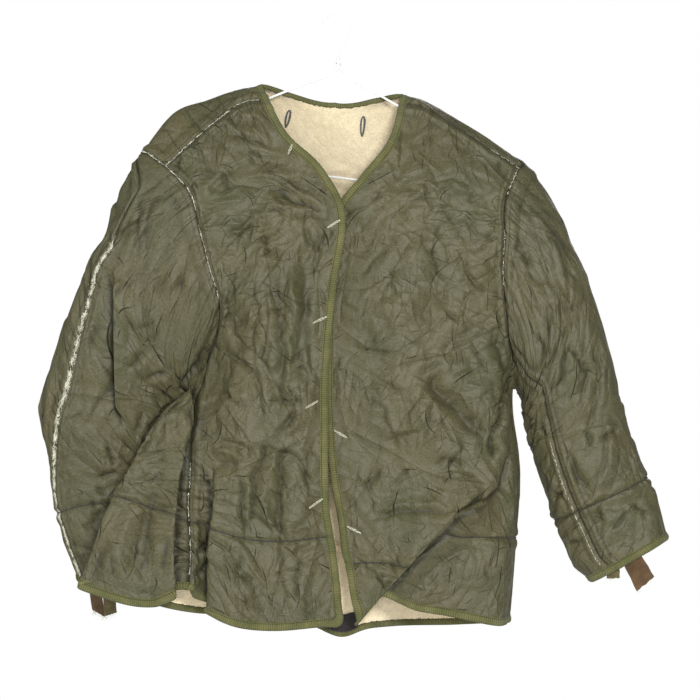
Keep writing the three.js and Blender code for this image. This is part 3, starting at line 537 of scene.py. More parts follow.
def lapsAt(x, z):
    shift, paintedShading, thin = np.zeros((len(x), 3)), np.zeros(len(x)), np.zeros(len(x))
    for points, top, slide, rise, reach, fadeIn, openEnd in laps:
        _, along, side, turnX, turnZ = nearLine(points, x, z)
        t = -side * top / reach
        taper = smooth(along / fadeIn) * (1 if openEnd else smooth((1 - along) / 0.2))
        amount = -1.6 * blend(slide[0], slide[1], along) * taper * t * np.exp(-1.2 * t * t)
        shift[:, 0] += amount * turnX * top
        shift[:, 2] += amount * turnZ * top
        lift = (0.2 - 0.8 * np.tanh(t / 0.3)) * ridge(t, 0, 1.3)
        shift[:, 1] -= rise * taper * lift
        # painted shade on the under layer beside each lap
        paintedShading += taper * (1.25 * ridge(t, 0.66, 0.22) + 0.25 * ridge(t, 1.1, 0.5))
        thin = np.maximum(thin, taper * np.exp(-(t / 1.6) ** 4))
    return shift, paintedShading, thin


# the five surfaces: u across and v up, or round and down a sleeve

surfaces = {}
pinches = [(-169, 4, -462), (234, 5, -483)]  # where body and sleeve meet under each arm
# relief and painted shade beside a seam, and about the quilting: how far off, how wide, how much
seamLook = {"height": [(6.5, 3.4, 2.2), (11.5, 2.2, -0.9)], "dark": [(0, 1.6, 0.9), (10.5, 1.5, 0.4)]}
quiltLook = {"height": [(7, 5, 1.5), (0, 2.2, -2.2)], "pucker": 1.3, "dark": 0.5}


def addSurface(name, place, probe, toFront, borders, quilt, seed, roughness=1.0):
    surface = {"place": place, "borders": borders, "quilt": quilt, "seed": seed, "outward": 1,
               "rough": roughness}
    u, v = np.array([probe[0]]), np.array([probe[1]])
    _, normal = smoothAt(surface, u, v)
    surface["outward"] = 1 if (normal[0, 1] < 0) == toFront else -1
    levels = np.linspace(0, 1, 25)
    widths = []
    for level in levels:
        row = place(np.linspace(0, 1, 40), np.full(40, level))
        widths.append(np.linalg.norm(np.diff(row, axis=0), axis=1).sum())
    columns = [place(np.full(60, at), np.linspace(0, 1, 60)) for at in (0.2, 0.5, 0.8)]
    surface["levels"], surface["widths"] = levels, np.array(widths)
    surface["length"] = np.mean([np.linalg.norm(np.diff(c, axis=0), axis=1).sum() for c in columns])
    surfaces[name] = surface


def smoothAt(surface, u, v):
    place, step = surface["place"], 0.002
    across = place(u + step, v) - place(u - step, v)
    up = place(u, v + step) - place(u, v - step)
    return place(u, v), unit(np.cross(across, up)) * surface["outward"]


def widthAt(surface, v):
    return np.interp(v, surface["levels"], surface["widths"])


def flatAt(surface, u, v):
    return np.stack([u * widthAt(surface, v), v * surface["length"]], axis=1)


def surfaceAt(name, u, v):
    surface = surfaces[name]
    u, v = np.broadcast_arrays(np.atleast_1d(np.asarray(u, float)), np.asarray(v, float))
    here, normal = smoothAt(surface, u, v)
    flat = flatAt(surface, u, v)
    seam, taped, drawn = surface["borders"](surface, u, v)
    free = smooth((seam - 1) / 13) * (0.4 + 0.6 * smooth((taped - 9) / 26))
    fore, aft = smooth((-normal[:, 1] - 0.05) / 0.35), smooth((normal[:, 1] - 0.05) / 0.35)
    height, paintedShading = crumpleAt(flat, surface["seed"])
    placedFront, darkFront = creasesAt(frontCreases, here[:, 0], here[:, 2], 700)
    placedBack, darkBack = creasesAt(backCreases, here[:, 0], here[:, 2], 800)
    rough = surface["rough"] * (1 - 0.9 * smooth((v - 0.78) / 0.12) * (name == "back"))
    height = free * (height * rough + placedFront * fore + placedBack * aft)
    # painted shade from the crumples and the placed creases
    paintedShading = free * (paintedShading + darkFront * fore + darkBack * aft)
    height += relief(drawn, seamLook["height"])
    # painted shade in the seam grooves
    paintedShading += relief(drawn, seamLook["dark"])
    off = surface["quilt"](surface, u, v)
    along = flat[:, 0]
    pucker = noiseAt(along / 5.5, off / 16, surface["seed"] + 90)
    height += relief(np.abs(off), quiltLook["height"])
    height += quiltLook["pucker"] * pucker * ridge(off, 0, 10) * smooth(np.abs(off) / 2)
    # painted shade in the quilting groove and in the pucker hollows
    paintedShading += quiltLook["dark"] * ridge(off, 0, 1.5) + 0.3 * np.maximum(-pucker, 0) * ridge(off, 0, 9)
    shift, darkLap, thin = lapsAt(here[:, 0], here[:, 2])
    thin = thin * (fore > 0.3)
    for spot in pinches:
        thin = np.maximum(thin, 1.4 * np.exp(-((here - spot) ** 2).sum(axis=1) / 26 ** 2))
    if name == "frontRight":
        nearArm = smooth((u - 0.9) / 0.04) * smooth((v - 0.3) / 0.04)
        thin = np.maximum(thin, 1.3 * smooth((0.5 - v) / 0.05) * nearArm)
    if name == "back":
        thin = np.maximum(thin, 1.3 * smooth((0.5 - v) / 0.05) * ridge(u, 0.15, 0.03))
    surface["thin"] = np.minimum(thin, 1)
    point = here + normal * height[:, None] + shift * fore[:, None]
    return point, normal, np.clip(paintedShading + darkLap * fore, -0.4, 1.3), flat


# how far the shoulder seam comes forward of the panel's top edge, in from the neck
seamDrop = {"right": ((0, 22), (0.15, 13), (0.3, 6), (0.5, 1), (0.6, 0)),
            "left": ((0, 13), (0.2, 5), (0.45, 0))}


def frontBorders(side):
    def borders(surface, u, v):
        width, length = widthAt(surface, v), surface["length"]
        edge, top = (1 - u) * width, (1 - v) * length
        drawn = np.minimum(edge, np.abs(top - np.interp(u, *zip(*seamDrop[side]))))
        return np.minimum(np.minimum(edge, top), drawn), np.minimum(u * width, v * length), drawn
    return borders


def backBorders(surface, u, v):
    width, length = widthAt(surface, v), surface["length"]
    inNeck = (u > neckRight) & (u < neckLeft)
    top = (1 - v) * length
    shoulders = np.where(inNeck, np.hypot(top, np.minimum(u - neckRight, neckLeft - u) * width), top)
    sides = np.minimum(u, 1 - u) * width
    nearNeck = smooth((0.11 - np.minimum(np.abs(u - neckRight), np.abs(u - neckLeft))) / 0.05)
    drawn = np.minimum(sides, shoulders + 24 * nearNeck)
    return np.minimum(sides, shoulders), np.minimum(v * length, np.where(inNeck, top, 1e3)), drawn


def sleeveBorders(side):
    def borders(surface, around, down):
        start, middle = sleeveSeams(side, down)
        width, length = widthAt(surface, down), surface["length"]
        near = np.minimum(np.abs(around - start), np.abs(around - middle))
        near = np.minimum(near, np.abs(around - start - 1))
        seam = np.minimum(near * width, down * length)
        return seam, (1 - down) * length, seam
    return borders


# the quilting row, as places across and heights up the panel
quiltRows = {
    "frontRight": ((0, 0.155), (1, 0.155)),
    "frontLeft": ((0, 0.115), (0.4, 0.125), (0.56, 0.178), (0.8, 0.168), (1, 0.155)),
    "back": ((0, 0.155), (1, 0.155)),
    "sleeveRight": ((0, 0.812), (0.05, 0.81), (0.25, 0.765), (0.6, 0.79), (0.95, 0.812), (1, 0.812)),
    "sleeveLeft": ((0, 0.762), (0.1, 0.765), (0.4, 0.77), (0.95, 0.762), (1, 0.762)),
}


def quiltLevel(name, u):
    turn = np.mod(u, 1) if name.startswith("sleeve") else u
    return np.interp(turn, *zip(*quiltRows[name]))


def quiltOff(name):
    return lambda surface, u, v: (v - quiltLevel(name, u)) * surface["length"]


addSurface("frontRight", lambda u, v: frontAt("right", u, v), (0.5, 0.3), True,
           frontBorders("right"), quiltOff("frontRight"), 100, 1.4)
addSurface("frontLeft", lambda u, v: frontAt("left", u, v), (0.5, 0.3), True,
           frontBorders("left"), quiltOff("frontLeft"), 200, 0.75)
addSurface("back", backAt, (0.5, 0.5), False, backBorders, quiltOff("back"), 300)
for side, name, seed in (("right", "sleeveRight", 400), ("left", "sleeveLeft", 500)):
    addSurface(name, lambda u, v, side=side: sleeveAt(side, u, v), (0.25, 0.5), True,
               sleeveBorders(side), quiltOff(name), seed)
print("surfaces laid out")

# materials


def put(tree, kind, inputs=None, **settings):
    node = tree.nodes.new(kind)
    count = len(tree.nodes)
    node.location = (200 * (count // 6) - 2400, 300 * (count % 6) - 900)  # in columns, in the order made
    for key, value in settings.items():
        setattr(node, key, value)
    for key, value in (inputs or {}).items():
        node.inputs[key].default_value = value
    return node


def newGroup(name, inputs, outputs):
    tree = bpy.data.node_groups.new(name, "ShaderNodeTree")
    for label, kind, value in inputs:
        socket = tree.interface.new_socket(name=label, in_out="INPUT", socket_type=kind)
        if value is not None:
            socket.default_value = value
    for label, kind in outputs:
        tree.interface.new_socket(name=label, in_out="OUTPUT", socket_type=kind)
    return tree, put(tree, "NodeGroupInput"), put(tree, "NodeGroupOutput")


def addNoise(tree, source, scale, detail, **settings):
    node = put(tree, "ShaderNodeTexNoise", {"Scale": scale, "Detail": detail}, **settings)
    tree.links.new(source, node.inputs["Vector"])
    return node.outputs["Fac"]


def bentPattern(tree, source, size, bend):
    # a pattern space in units of its own size, bent so that no line runs straight
    join = tree.links.new
    scaled = put(tree, "ShaderNodeVectorMath", operation="SCALE")
    join(source, scaled.inputs[0])
    join(math2(tree, "DIVIDE", 1.0, size), scaled.inputs["Scale"])
    warp = put(tree, "ShaderNodeTexNoise", {"Scale": 0.4, "Detail": 1.0})
    join(scaled.outputs[0], warp.inputs["Vector"])
    centred = put(tree, "ShaderNodeVectorMath", {1: (0.5, 0.5, 0.5)}, operation="SUBTRACT")
    join(warp.outputs["Color"], centred.inputs[0])
    pushed = put(tree, "ShaderNodeVectorMath", operation="SCALE")
    join(centred.outputs[0], pushed.inputs[0])
    join(bend, pushed.inputs["Scale"])
    summed = put(tree, "ShaderNodeVectorMath", operation="ADD")
    join(scaled.outputs[0], summed.inputs[0])
    join(pushed.outputs[0], summed.inputs[1])
    return summed.outputs[0]


def ranged(tree, source, low, high, first=0.0, last=1.0, kind="SMOOTHSTEP"):
    node = put(tree, "ShaderNodeMapRange",
               {"From Min": low, "From Max": high, "To Min": first, "To Max": last},
               interpolation_type=kind)
    tree.links.new(source, node.inputs["Value"])
    return node.outputs[0]


def math2(tree, operation, a, b=0.0):
    node = put(tree, "ShaderNodeMath", operation=operation)
    for socket, value in ((node.inputs[0], a), (node.inputs[1], b)):
        if isinstance(value, (int, float)):
            socket.default_value = value
        else:
            tree.links.new(value, socket)
    return node.outputs[0]


def newPatternGroup(name, *values):
    # a group from the flat pattern space to a height and its lines of painted shade, with its bent space
    inputs = [("Flat", "NodeSocketVector", None)]
    inputs += [(label, "NodeSocketFloat", value) for label, value in values]
    tree, entry, leave = newGroup(name, inputs, [("Height", "NodeSocketFloat"), ("Lines", "NodeSocketFloat")])
    sockets = entry.outputs
    return tree, sockets, leave, bentPattern(tree, sockets["Flat"], sockets["Size"], sockets["Bend"])


def makeCrinkleGroup():
    # one short, nearly straight crease in each cell of an uneven mosaic, the cloth rolled up on one side,
    # with painted shade at its foot
    tree, sockets, leave, space = newPatternGroup(
        "crinkle", ("Size", 0.02), ("Bend", 0.5), ("Lean", 1.2), ("Spread", 1.5), ("Width", 0.05))
    join = tree.links.new
    cells = put(tree, "ShaderNodeTexVoronoi", {"Scale": 1.0, "Randomness": 1.0},
                feature="F1", voronoi_dimensions="2D")
    join(space, cells.inputs["Vector"])
    local = put(tree, "ShaderNodeVectorMath", operation="SUBTRACT")
    join(space, local.inputs[0])
    join(cells.outputs["Position"], local.inputs[1])
    spot = put(tree, "ShaderNodeSeparateXYZ")
    join(local.outputs[0], spot.inputs[0])
    x, y = spot.outputs[0], spot.outputs[1]
    colour = put(tree, "ShaderNodeSeparateColor")
    join(cells.outputs["Color"], colour.inputs[0])
    chances = colour.outputs
    swing = math2(tree, "MULTIPLY", math2(tree, "SUBTRACT", chances[0], 0.5), sockets["Spread"])
    turn = math2(tree, "ADD", swing, sockets["Lean"])
    cosine, sine = math2(tree, "COSINE", turn), math2(tree, "SINE", turn)
    along = math2(tree, "ADD", math2(tree, "MULTIPLY", x, cosine), math2(tree, "MULTIPLY", y, sine))
    across = math2(tree, "SUBTRACT", math2(tree, "MULTIPLY", y, cosine), math2(tree, "MULTIPLY", x, sine))
    bow = math2(tree, "MULTIPLY", math2(tree, "MULTIPLY", along, along),
                math2(tree, "SUBTRACT", chances[2], 0.5))
    across = math2(tree, "ADD", across, math2(tree, "MULTIPLY", bow, 1.6))
    reach = math2(tree, "MULTIPLY_ADD", chances[1], 0.36)
    reach.node.inputs[2].default_value = 0.3
    taper = ranged(tree, math2(tree, "DIVIDE", math2(tree, "ABSOLUTE", along), reach), 1.0, 0.2)
    ratio = math2(tree, "DIVIDE", across, sockets["Width"])
    foot = ranged(tree, math2(tree, "ABSOLUTE", ratio), 1.15, 0.1)
    roll = math2(tree, "MULTIPLY", ranged(tree, ratio, -0.8, 1.2), ranged(tree, ratio, 11.0, 0.6))
    patches = addNoise(tree, space, 0.33, 1.0, noise_dimensions="2D")
    strength = math2(tree, "MULTIPLY", taper, ranged(tree, patches, 0.4, 0.58, 0.35, 1.0))
    strength = math2(tree, "MULTIPLY", strength, ranged(tree, chances[2], 0.1, 0.5, 0.4, 1.0))
    join(math2(tree, "MULTIPLY", roll, strength), leave.inputs["Height"])
    join(math2(tree, "MULTIPLY", foot, strength), leave.inputs["Lines"])
    return tree


def makeWrinkleGroup():
    # sharp ridges and valleys with soft hills between, crossing four ways and fading in patches, with painted
    # shade along the valleys
    tree, _, leave, space = newPatternGroup("wrinkle", ("Size", 0.015), ("Bend", 1.2))
    join = tree.links.new
    heights, lines = None, None
    for k, (lean, sign) in enumerate(((-50, 1.0), (70, -1.0), (-12, 1.0), (24, -1.0))):
        turned = put(tree, "ShaderNodeMapping", {
            "Location": (7.3 * k, 3.1 * k, 0), "Rotation": (0, 0, math.radians(lean)),
            "Scale": (1, 3.4, 1)}, vector_type="TEXTURE")
        join(space, turned.inputs["Vector"])
        flow = addNoise(tree, turned.outputs[0], 1.0, 0.7, noise_dimensions="2D")
        shifted = put(tree, "ShaderNodeVectorMath", {1: (5.0 * k + 3, 2.0, 0)}, operation="ADD")
        join(space, shifted.inputs[0])
        patches = addNoise(tree, shifted.outputs[0], 0.45, 1.0, noise_dimensions="2D")
        strength = ranged(tree, patches, 0.42, 0.62)
        apart = math2(tree, "ABSOLUTE", math2(tree, "SUBTRACT", flow, 0.5))
        hill = math2(tree, "MINIMUM", math2(tree, "MULTIPLY", apart, 6.0), 1.0)
        hill = math2(tree, "MULTIPLY", math2(tree, "POWER", hill, 0.66), strength)
        hill = math2(tree, "MULTIPLY", hill, sign)
        heights = math2(tree, "ADD", heights, hill) if heights else hill
        if sign > 0:
            line = math2(tree, "MULTIPLY", ranged(tree, apart, 0.002, 0.022, 1.0, 0.0), strength)
            lines = math2(tree, "MAXIMUM", lines, line) if lines else line
    join(heights, leave.inputs["Height"])
    join(lines, leave.inputs["Lines"])
    return tree


def makeWeaveGroup():
    # threads of a fine plain weave
    tree, entry, leave = newGroup(
        "weave", [("Flat", "NodeSocketVector", None), ("Threads", "NodeSocketFloat", 1500.0)],
        [("Height", "NodeSocketFloat")])
    rows = []
    for direction in "XY":
        wave = put(tree, "ShaderNodeTexWave", {"Distortion": 0.6, "Detail": 1.0},
                   wave_type="BANDS", bands_direction=direction)
        tree.links.new(entry.outputs["Flat"], wave.inputs["Vector"])
        tree.links.new(entry.outputs["Threads"], wave.inputs["Scale"])
        rows.append(wave.outputs["Fac"])
    tree.links.new(math2(tree, "MULTIPLY", *rows), leave.inputs["Height"])
    return tree


def makeMottleGroup():
    # uneven dye and handling, from hand-sized clouds down to specks
    tree, entry, leave = newGroup(
        "mottle", [("Flat", "NodeSocketVector", None), ("Size", "NodeSocketFloat", 0.1)],
        [("Cloud", "NodeSocketFloat"), ("Speck", "NodeSocketFloat")])
    scaled = put(tree, "ShaderNodeVectorMath", operation="SCALE")
    tree.links.new(entry.outputs["Flat"], scaled.inputs[0])
    tree.links.new(math2(tree, "DIVIDE", 1.0, entry.outputs["Size"]), scaled.inputs["Scale"])
    for label, scale, detail, low, high in (("Cloud", 1.0, 5.0, 0.34, 0.66), ("Speck", 34.0, 3.0, 0.3, 0.7)):
        noise = addNoise(tree, scaled.outputs[0], scale, detail)
        tree.links.new(ranged(tree, noise, low, high, kind="LINEAR"), leave.inputs[label])
    return tree


groups = {"crinkle": makeCrinkleGroup(), "wrinkle": makeWrinkleGroup(),
          "weave": makeWeaveGroup(), "mottle": makeMottleGroup()}


def useGroup(tree, name, flat, **values):
    node = put(tree, "ShaderNodeGroup", node_tree=groups[name])
    tree.links.new(flat, node.inputs["Flat"])
    for key, value in values.items():
        node.inputs[key].default_value = value
    return node


def mixColours(tree, factor, a, b, kind="MIX"):
    node = put(tree, "ShaderNodeMix", data_type="RGBA", blend_type=kind)
    for socket, value in ((node.inputs[0], factor), (node.inputs[6], a), (node.inputs[7], b)):
        if isinstance(value, bpy.types.NodeSocket):
            tree.links.new(value, socket)
        else:
            socket.default_value = value if isinstance(value, (int, float)) else (*value, 1.0)
    return node.outputs[2]


def varied(tree, base, source, low, high, least, most, kind="LINEAR"):
    # a colour times a share that follows a pattern
    return mixColours(tree, 1.0, base, ranged(tree, source, low, high, least, most, kind), "MULTIPLY")


def addBumps(tree, surface, bumps):
    # each relief in turn: height socket, strength, depth in metres
    normal = None
    for height, strength, depth in bumps:
        bump = put(tree, "ShaderNodeBump", {"Strength": strength, "Distance": depth})
        tree.links.new(height, bump.inputs["Height"])
        if normal:
            tree.links.new(normal, bump.inputs["Normal"])
        normal = bump.outputs[0]
    tree.links.new(normal, surface.inputs["Normal"])


def newMaterial(name, **values):
    material = bpy.data.materials.new(name)
    material.use_nodes = True
    tree = material.node_tree
    surface = tree.nodes["Principled BSDF"]
    surface.location = (900, 0)
    tree.nodes["Material Output"].location = (1200, 0)
    for key, value in values.items():
        surface.inputs[key.replace("_", " ")].default_value = value
    return material, tree, surface


def readValue(tree, name):
    return put(tree, "ShaderNodeAttribute", attribute_name=name).outputs["Fac"]


def readObject(tree):
    return put(tree, "ShaderNodeTexCoord").outputs["Object"]


def clothBasics(tree, mottleSize, threads):
    # the flat pattern space, with the uneven dye and the weave that every cloth has
    flat = put(tree, "ShaderNodeUVMap", uv_map="flat").outputs[0]
    weave = useGroup(tree, "weave", flat, Threads=threads).outputs["Height"]
    mottle = useGroup(tree, "mottle", flat, Size=mottleSize).outputs
    return flat, mottle["Cloud"], mottle["Speck"], weave


shellLook = {
    "greyGreen": (0.067, 0.066, 0.0305), "brownGreen": (0.083, 0.0735, 0.0335),
    # dark is the painted shade in creases, seams and under laps; pale is the painted highlight on raised
    # creases
    "dark": (0.019, 0.0185, 0.0075), "pale": (0.16, 0.15, 0.08),
    # crinkles: size, lean, spread, width, darkness of the painted crease shade, bump depth
    "crinkles": [(0.058, 1.2, 1.5, 0.017, 1.0, 0.0034), (0.036, 0.8, 2.4, 0.021, 0.9, 0.0021),
                 (0.024, 1.5, 3.0, 0.026, 0.6, 0.0010)],
    # wrinkles: size, darkness of the painted crease shade, bump depth
    "wrinkles": [(0.052, 0.2, 0.0030), (0.021, 0.15, 0.0011)],
}


def makeShell():
    look = shellLook
    material, tree, surface = newMaterial(
        "shell cloth", Sheen_Weight=0.05, Sheen_Roughness=0.35, Sheen_Tint=(0.8, 0.8, 0.6, 1),
        Specular_IOR_Level=0.34)
    flat, cloud, speck, weave = clothBasics(tree, 0.09, 900.0)
    base = mixColours(tree, cloud, look["greyGreen"], look["brownGreen"])
    base = varied(tree, base, speck, 0.0, 1.0, 0.86, 1.14)
    base = varied(tree, base, addNoise(tree, flat, 480.0, 1.5), 0.3, 0.7, 0.76, 1.24)
    lines, reliefs = [], []
    for size, lean, spread, width, darkness, depth in look["crinkles"]:
        crinkle = useGroup(tree, "crinkle", flat, Size=size, Bend=0.3, Lean=lean, Spread=spread,
                           Width=width)
        lines.append(math2(tree, "MULTIPLY", crinkle.outputs["Lines"], darkness))
        reliefs.append((crinkle.outputs["Height"], 1.0, depth))
    for size, darkness, depth in look["wrinkles"]:
        wrinkle = useGroup(tree, "wrinkle", flat, Size=size, Bend=0.7)
        lines.append(math2(tree, "MULTIPLY", wrinkle.outputs["Lines"], darkness))
        reliefs.append((wrinkle.outputs["Height"], 1.0, depth))
    creased = lines[0]
    for line in lines[1:]:
        creased = math2(tree, "MAXIMUM", creased, line)
    # painted shade: the crease lines darken towards the dark colour, scaled by each panel's crumple
    base = mixColours(tree, math2(tree, "MULTIPLY", creased, readValue(tree, "crumple")), base,
                      look["dark"])
    # painted shade in creases, seams, quilting and under laps, from the attribute read here
    paintedShading = readValue(tree, "paintedShading")
    base = mixColours(tree, ranged(tree, paintedShading, 0.06, 1.0, 0.0, 0.88), base, look["dark"])
    base = mixColours(tree, ranged(tree, paintedShading, -0.02, -0.3, 0.0, 0.3), base, look["pale"])  # painted highlight on raised creases
    tree.links.new(base, surface.inputs["Base Color"])
    tree.links.new(ranged(tree, speck, 0.0, 1.0, 0.46, 0.62, "LINEAR"), surface.inputs["Roughness"])
    addBumps(tree, surface, reliefs + [(weave, 0.25, 0.0001)])
    return material


pileLook = {"light": (0.69, 0.595, 0.41), "shade": (0.61, 0.515, 0.335),
            "paintedLowLight": 1.27}  # painted light: brighter low down, where the pile lies in shadow


def makePile():
    material, tree, surface = newMaterial(
        "cream pile", Roughness=0.95, Sheen_Weight=0.35, Sheen_Roughness=0.6, Specular_IOR_Level=0.15)
    flat = put(tree, "ShaderNodeUVMap", uv_map="flat").outputs[0]
    cloud = useGroup(tree, "mottle", flat, Size=0.06).outputs["Cloud"]
    tufts, clumps = addNoise(tree, flat, 420.0, 4.0), addNoise(tree, flat, 130.0, 3.0)
    base = mixColours(tree, cloud, pileLook["shade"], pileLook["light"])
    base = varied(tree, base, clumps, 0.3, 0.65, 0.9, 1.06)
    base = varied(tree, base, tufts, 0.3, 0.7, 0.88, 1.1)
    place = put(tree, "ShaderNodeSeparateXYZ")
    tree.links.new(readObject(tree), place.inputs[0])
    # painted light: the pile is made brighter from 0.5 m below the origin downwards
    base = varied(tree, base, place.outputs[2], -0.5, -0.62, 1.0, pileLook["paintedLowLight"], "SMOOTHSTEP")
    tree.links.new(base, surface.inputs["Base Color"])
    addBumps(tree, surface, [(clumps, 0.6, 0.0008), (tufts, 0.8, 0.0009)])
    return material


tapeLook = {
    "ribs": 108.0, "step": 0.85,  # ribs set the wave's scale, step is the mesh's along the edge
    "shade": (0.100, 0.104, 0.034), "light": (0.165, 0.158, 0.062),
    # painted shade: the first colour between the ribs, the second along the sewn rows and round the turned
    # edge
    "groove": (0.020, 0.023, 0.008), "paintedEdgeShade": (0.016, 0.019, 0.006),
    # round the tape: in from the edge, height over the cloth, out past the edge
    "profile": [
        (9.9, -0.4, 0), (9.4, 0.8, 0), (8.6, 0.9, 0), (7.8, 0.45, 0), (7.0, 1.3, 0), (5.2, 2.0, 0),
        (3.0, 2.1, 0), (1.2, 1.6, 0.2), (0, 0.4, 1.0), (0, -1.3, 1.4), (0, -2.9, 1.0),
        (1.0, -3.9, 0.2), (4.5, -4.2, 0), (8.6, -3.8, 0), (9.6, -2.9, 0)],
    # the sewn rows and the turn rows get painted shade
    "innerRows": (11, 12, 13, 14), "sewnRows": (0, 3, 14), "turnRows": (8, 9, 10),
    # how far round each row lies, the first once more at the end
    "girth": (0, 1.2, 2, 2.9, 4.1, 6, 8.2, 10, 11.8, 13.4, 15, 16.4, 20, 24, 25.4, 28),
}


def makeTape():
    look = tapeLook
    material, tree, surface = newMaterial(
        "ribbed tape", Roughness=0.85, Sheen_Weight=0.1, Specular_IOR_Level=0.22)
    flat, cloud, speck, weave = clothBasics(tree, 0.03, 420.0)
    wave = put(tree, "ShaderNodeTexWave",
               {"Scale": look["ribs"], "Distortion": 3.6, "Detail": 1.5, "Detail Scale": 0.5},
               wave_type="BANDS", bands_direction="X")
    tree.links.new(flat, wave.inputs["Vector"])
    ribs = wave.outputs["Fac"]
    # painted shade in the grooves between the ribs
    grooves = math2(tree, "MULTIPLY", ranged(tree, ribs, 0.42, 0.0), ranged(tree, speck, 0.2, 0.7, 0.3, 1.0))
    base = varied(tree, mixColours(tree, cloud, look["shade"], look["light"]), speck, 0.0, 1.0, 0.8, 1.2)
    base = mixColours(tree, math2(tree, "MULTIPLY", grooves, 0.62), base, look["groove"])
    # painted shade along the sewn rows and round the turned edge
    paintedEdgeShade = ranged(tree, readValue(tree, "paintedShading"), 0.0, 1.0, 0.0, 0.85, "LINEAR")
    base = mixColours(tree, paintedEdgeShade, base, look["paintedEdgeShade"])
    tree.links.new(base, surface.inputs["Base Color"])
    addBumps(tree, surface, [(ribs, 0.9, 0.0009), (weave, 0.5, 0.0003)])
    return material


def spreadColour(tree, surface, scale, detail, high, first, last):
    # two tones in fine noise over the whole object
    noise = addNoise(tree, readObject(tree), scale, detail)
    spread = ranged(tree, noise, 0.35, high, kind="LINEAR")
    tree.links.new(mixColours(tree, spread, first, last), surface.inputs["Base Color"])
    return noise


def makeThread(name, light, dark):
    material, tree, surface = newMaterial(name, Roughness=0.8, Sheen_Weight=0.2)
    noise = spreadColour(tree, surface, 900.0, 2.0, 0.65, dark, light)
    addBumps(tree, surface, [(noise, 0.4, 0.0002)])
    return material


def makePlainCloth(name, light, dark, threads):
    material, tree, surface = newMaterial(name, Roughness=0.85, Sheen_Weight=0.3, Specular_IOR_Level=0.2)
    _, cloud, speck, weave = clothBasics(tree, 0.02, threads)
    base = varied(tree, mixColours(tree, cloud, dark, light), speck, 0.0, 1.0, 0.8, 1.2)
    tree.links.new(base, surface.inputs["Base Color"])
    addBumps(tree, surface, [(speck, 0.4, 0.0006), (weave, 0.5, 0.0003)])
    return material


def makeCoatedWire():
    material, tree, surface = newMaterial("coated wire")
    noise = spreadColour(tree, surface, 60.0, 4.0, 0.7, (0.86, 0.86, 0.84), (0.72, 0.72, 0.69))
    tree.links.new(ranged(tree, noise, 0.3, 0.7, 0.3, 0.5, "LINEAR"), surface.inputs["Roughness"])
    return material


shellCloth = makeShell()
creamPile = makePile()
ribbedTape = makeTape()
creamThread = makeThread("cream fray", (0.82, 0.81, 0.68), (0.58, 0.57, 0.43))
holeThread = makeThread("buttonhole thread", (0.66, 0.64, 0.49), (0.28, 0.27, 0.18))
darkThread = makeThread("dark thread", (0.026, 0.024, 0.011), (0.012, 0.011, 0.005))
greyThread = makeThread("grey thread", (0.10, 0.11, 0.115), (0.035, 0.04, 0.04))
brownCloth = makePlainCloth("brown cloth", (0.120, 0.070, 0.030), (0.070, 0.040, 0.016), 700.0)
oliveCloth = makePlainCloth("olive brown cloth", (0.125, 0.105, 0.045), (0.08, 0.067, 0.028), 700.0)
patchCloth = makePlainCloth("near-black cloth", (0.030, 0.026, 0.024), (0.018, 0.016, 0.015), 800.0)
coatedWire = makeCoatedWire()
print("materials made")

# cloth pieces


def readVectors(items, attribute, width=3):
    values = np.empty(len(items) * width)
    items.foreach_get(attribute, values)
    return values.reshape(-1, width)


def gridMesh(name, columns, rows):
    bm = bmesh.new()
    bmesh.ops.create_grid(bm, x_segments=columns, y_segments=rows, size=0.5)
    mesh = bpy.data.meshes.new(name)
    bm.to_mesh(mesh)
    bm.free()
    spots = readVectors(mesh.vertices, "co")
    return mesh, np.clip(spots[:, 0] + 0.5, 0, 1), np.clip(spots[:, 1] + 0.5, 0, 1)


def faceCorners(mesh):
    # the vertex at each loop, and the first loop of each face
    corners, first = np.empty(len(mesh.loops), np.int32), np.empty(len(mesh.polygons), np.int32)
    mesh.loops.foreach_get("vertex_index", corners)
    mesh.polygons.foreach_get("loop_start", first)
    return corners, first


def shapeMesh(mesh, points, normals, paintedShading, flat, crumple=1.0):
    mesh.vertices.foreach_set("co", (points * mm).ravel())
    corners, first = faceCorners(mesh)
    mesh.uv_layers.new(name="flat").uv.foreach_set("vector", (flat[corners] * mm).ravel())
    # the first attribute holds painted shade, and painted highlight where it is below zero; crumple scales
    # the shell's painted crease lines
    for label, values in (("paintedShading", paintedShading), ("crumple", np.full(len(points), crumple))):
        mesh.attributes.new(label, "FLOAT", "POINT").data.foreach_set("value", values)
    mesh.update()
    facing = (readVectors(mesh.polygons, "normal") * normals[corners[first]]).sum(axis=1).mean()
    if facing < 0:
        mesh.flip_normals()
    mesh.shade_smooth()


def addObject(name, data):
    thing = bpy.data.objects.new(name, data)
    bpy.context.scene.collection.objects.link(thing)
    return thing


def addWall(piece, name, thickness):
    wall = piece.modifiers.new(name, "SOLIDIFY")
    wall.thickness, wall.offset = thickness * mm, -1
    return wall


def finishPiece(piece, node):
    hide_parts(node)
    return piece


def newPiece(name, mesh, *materials):
    piece = addObject(name, mesh)
    for material in materials:
        mesh.materials.append(material)
    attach(piece, "root")
    return piece


def roundCorner(surface, u, v):
    # the square corner of a front's grid drawn in to the round one it is cut to
    width, length = widthAt(surface, v), surface["length"]
    across, up = cornerRadius - u * width, cornerRadius - v * length
    inside = (across > 0) & (up > 0)
    reach = np.maximum(across, up) / np.maximum(np.hypot(across, up), 1e-6)
    u = np.where(inside, (cornerRadius - across * reach) / width, u)
    v = np.where(inside, (cornerRadius - up * reach) / length, v)
    return u, v


grids = {}
# how strongly each panel shows the shell's painted crease shade lines
crumpleShare = {"frontRight": 1.15, "frontLeft": 0.65, "back": 0.9, "sleeveRight": 1.0, "sleeveLeft": 0.9}


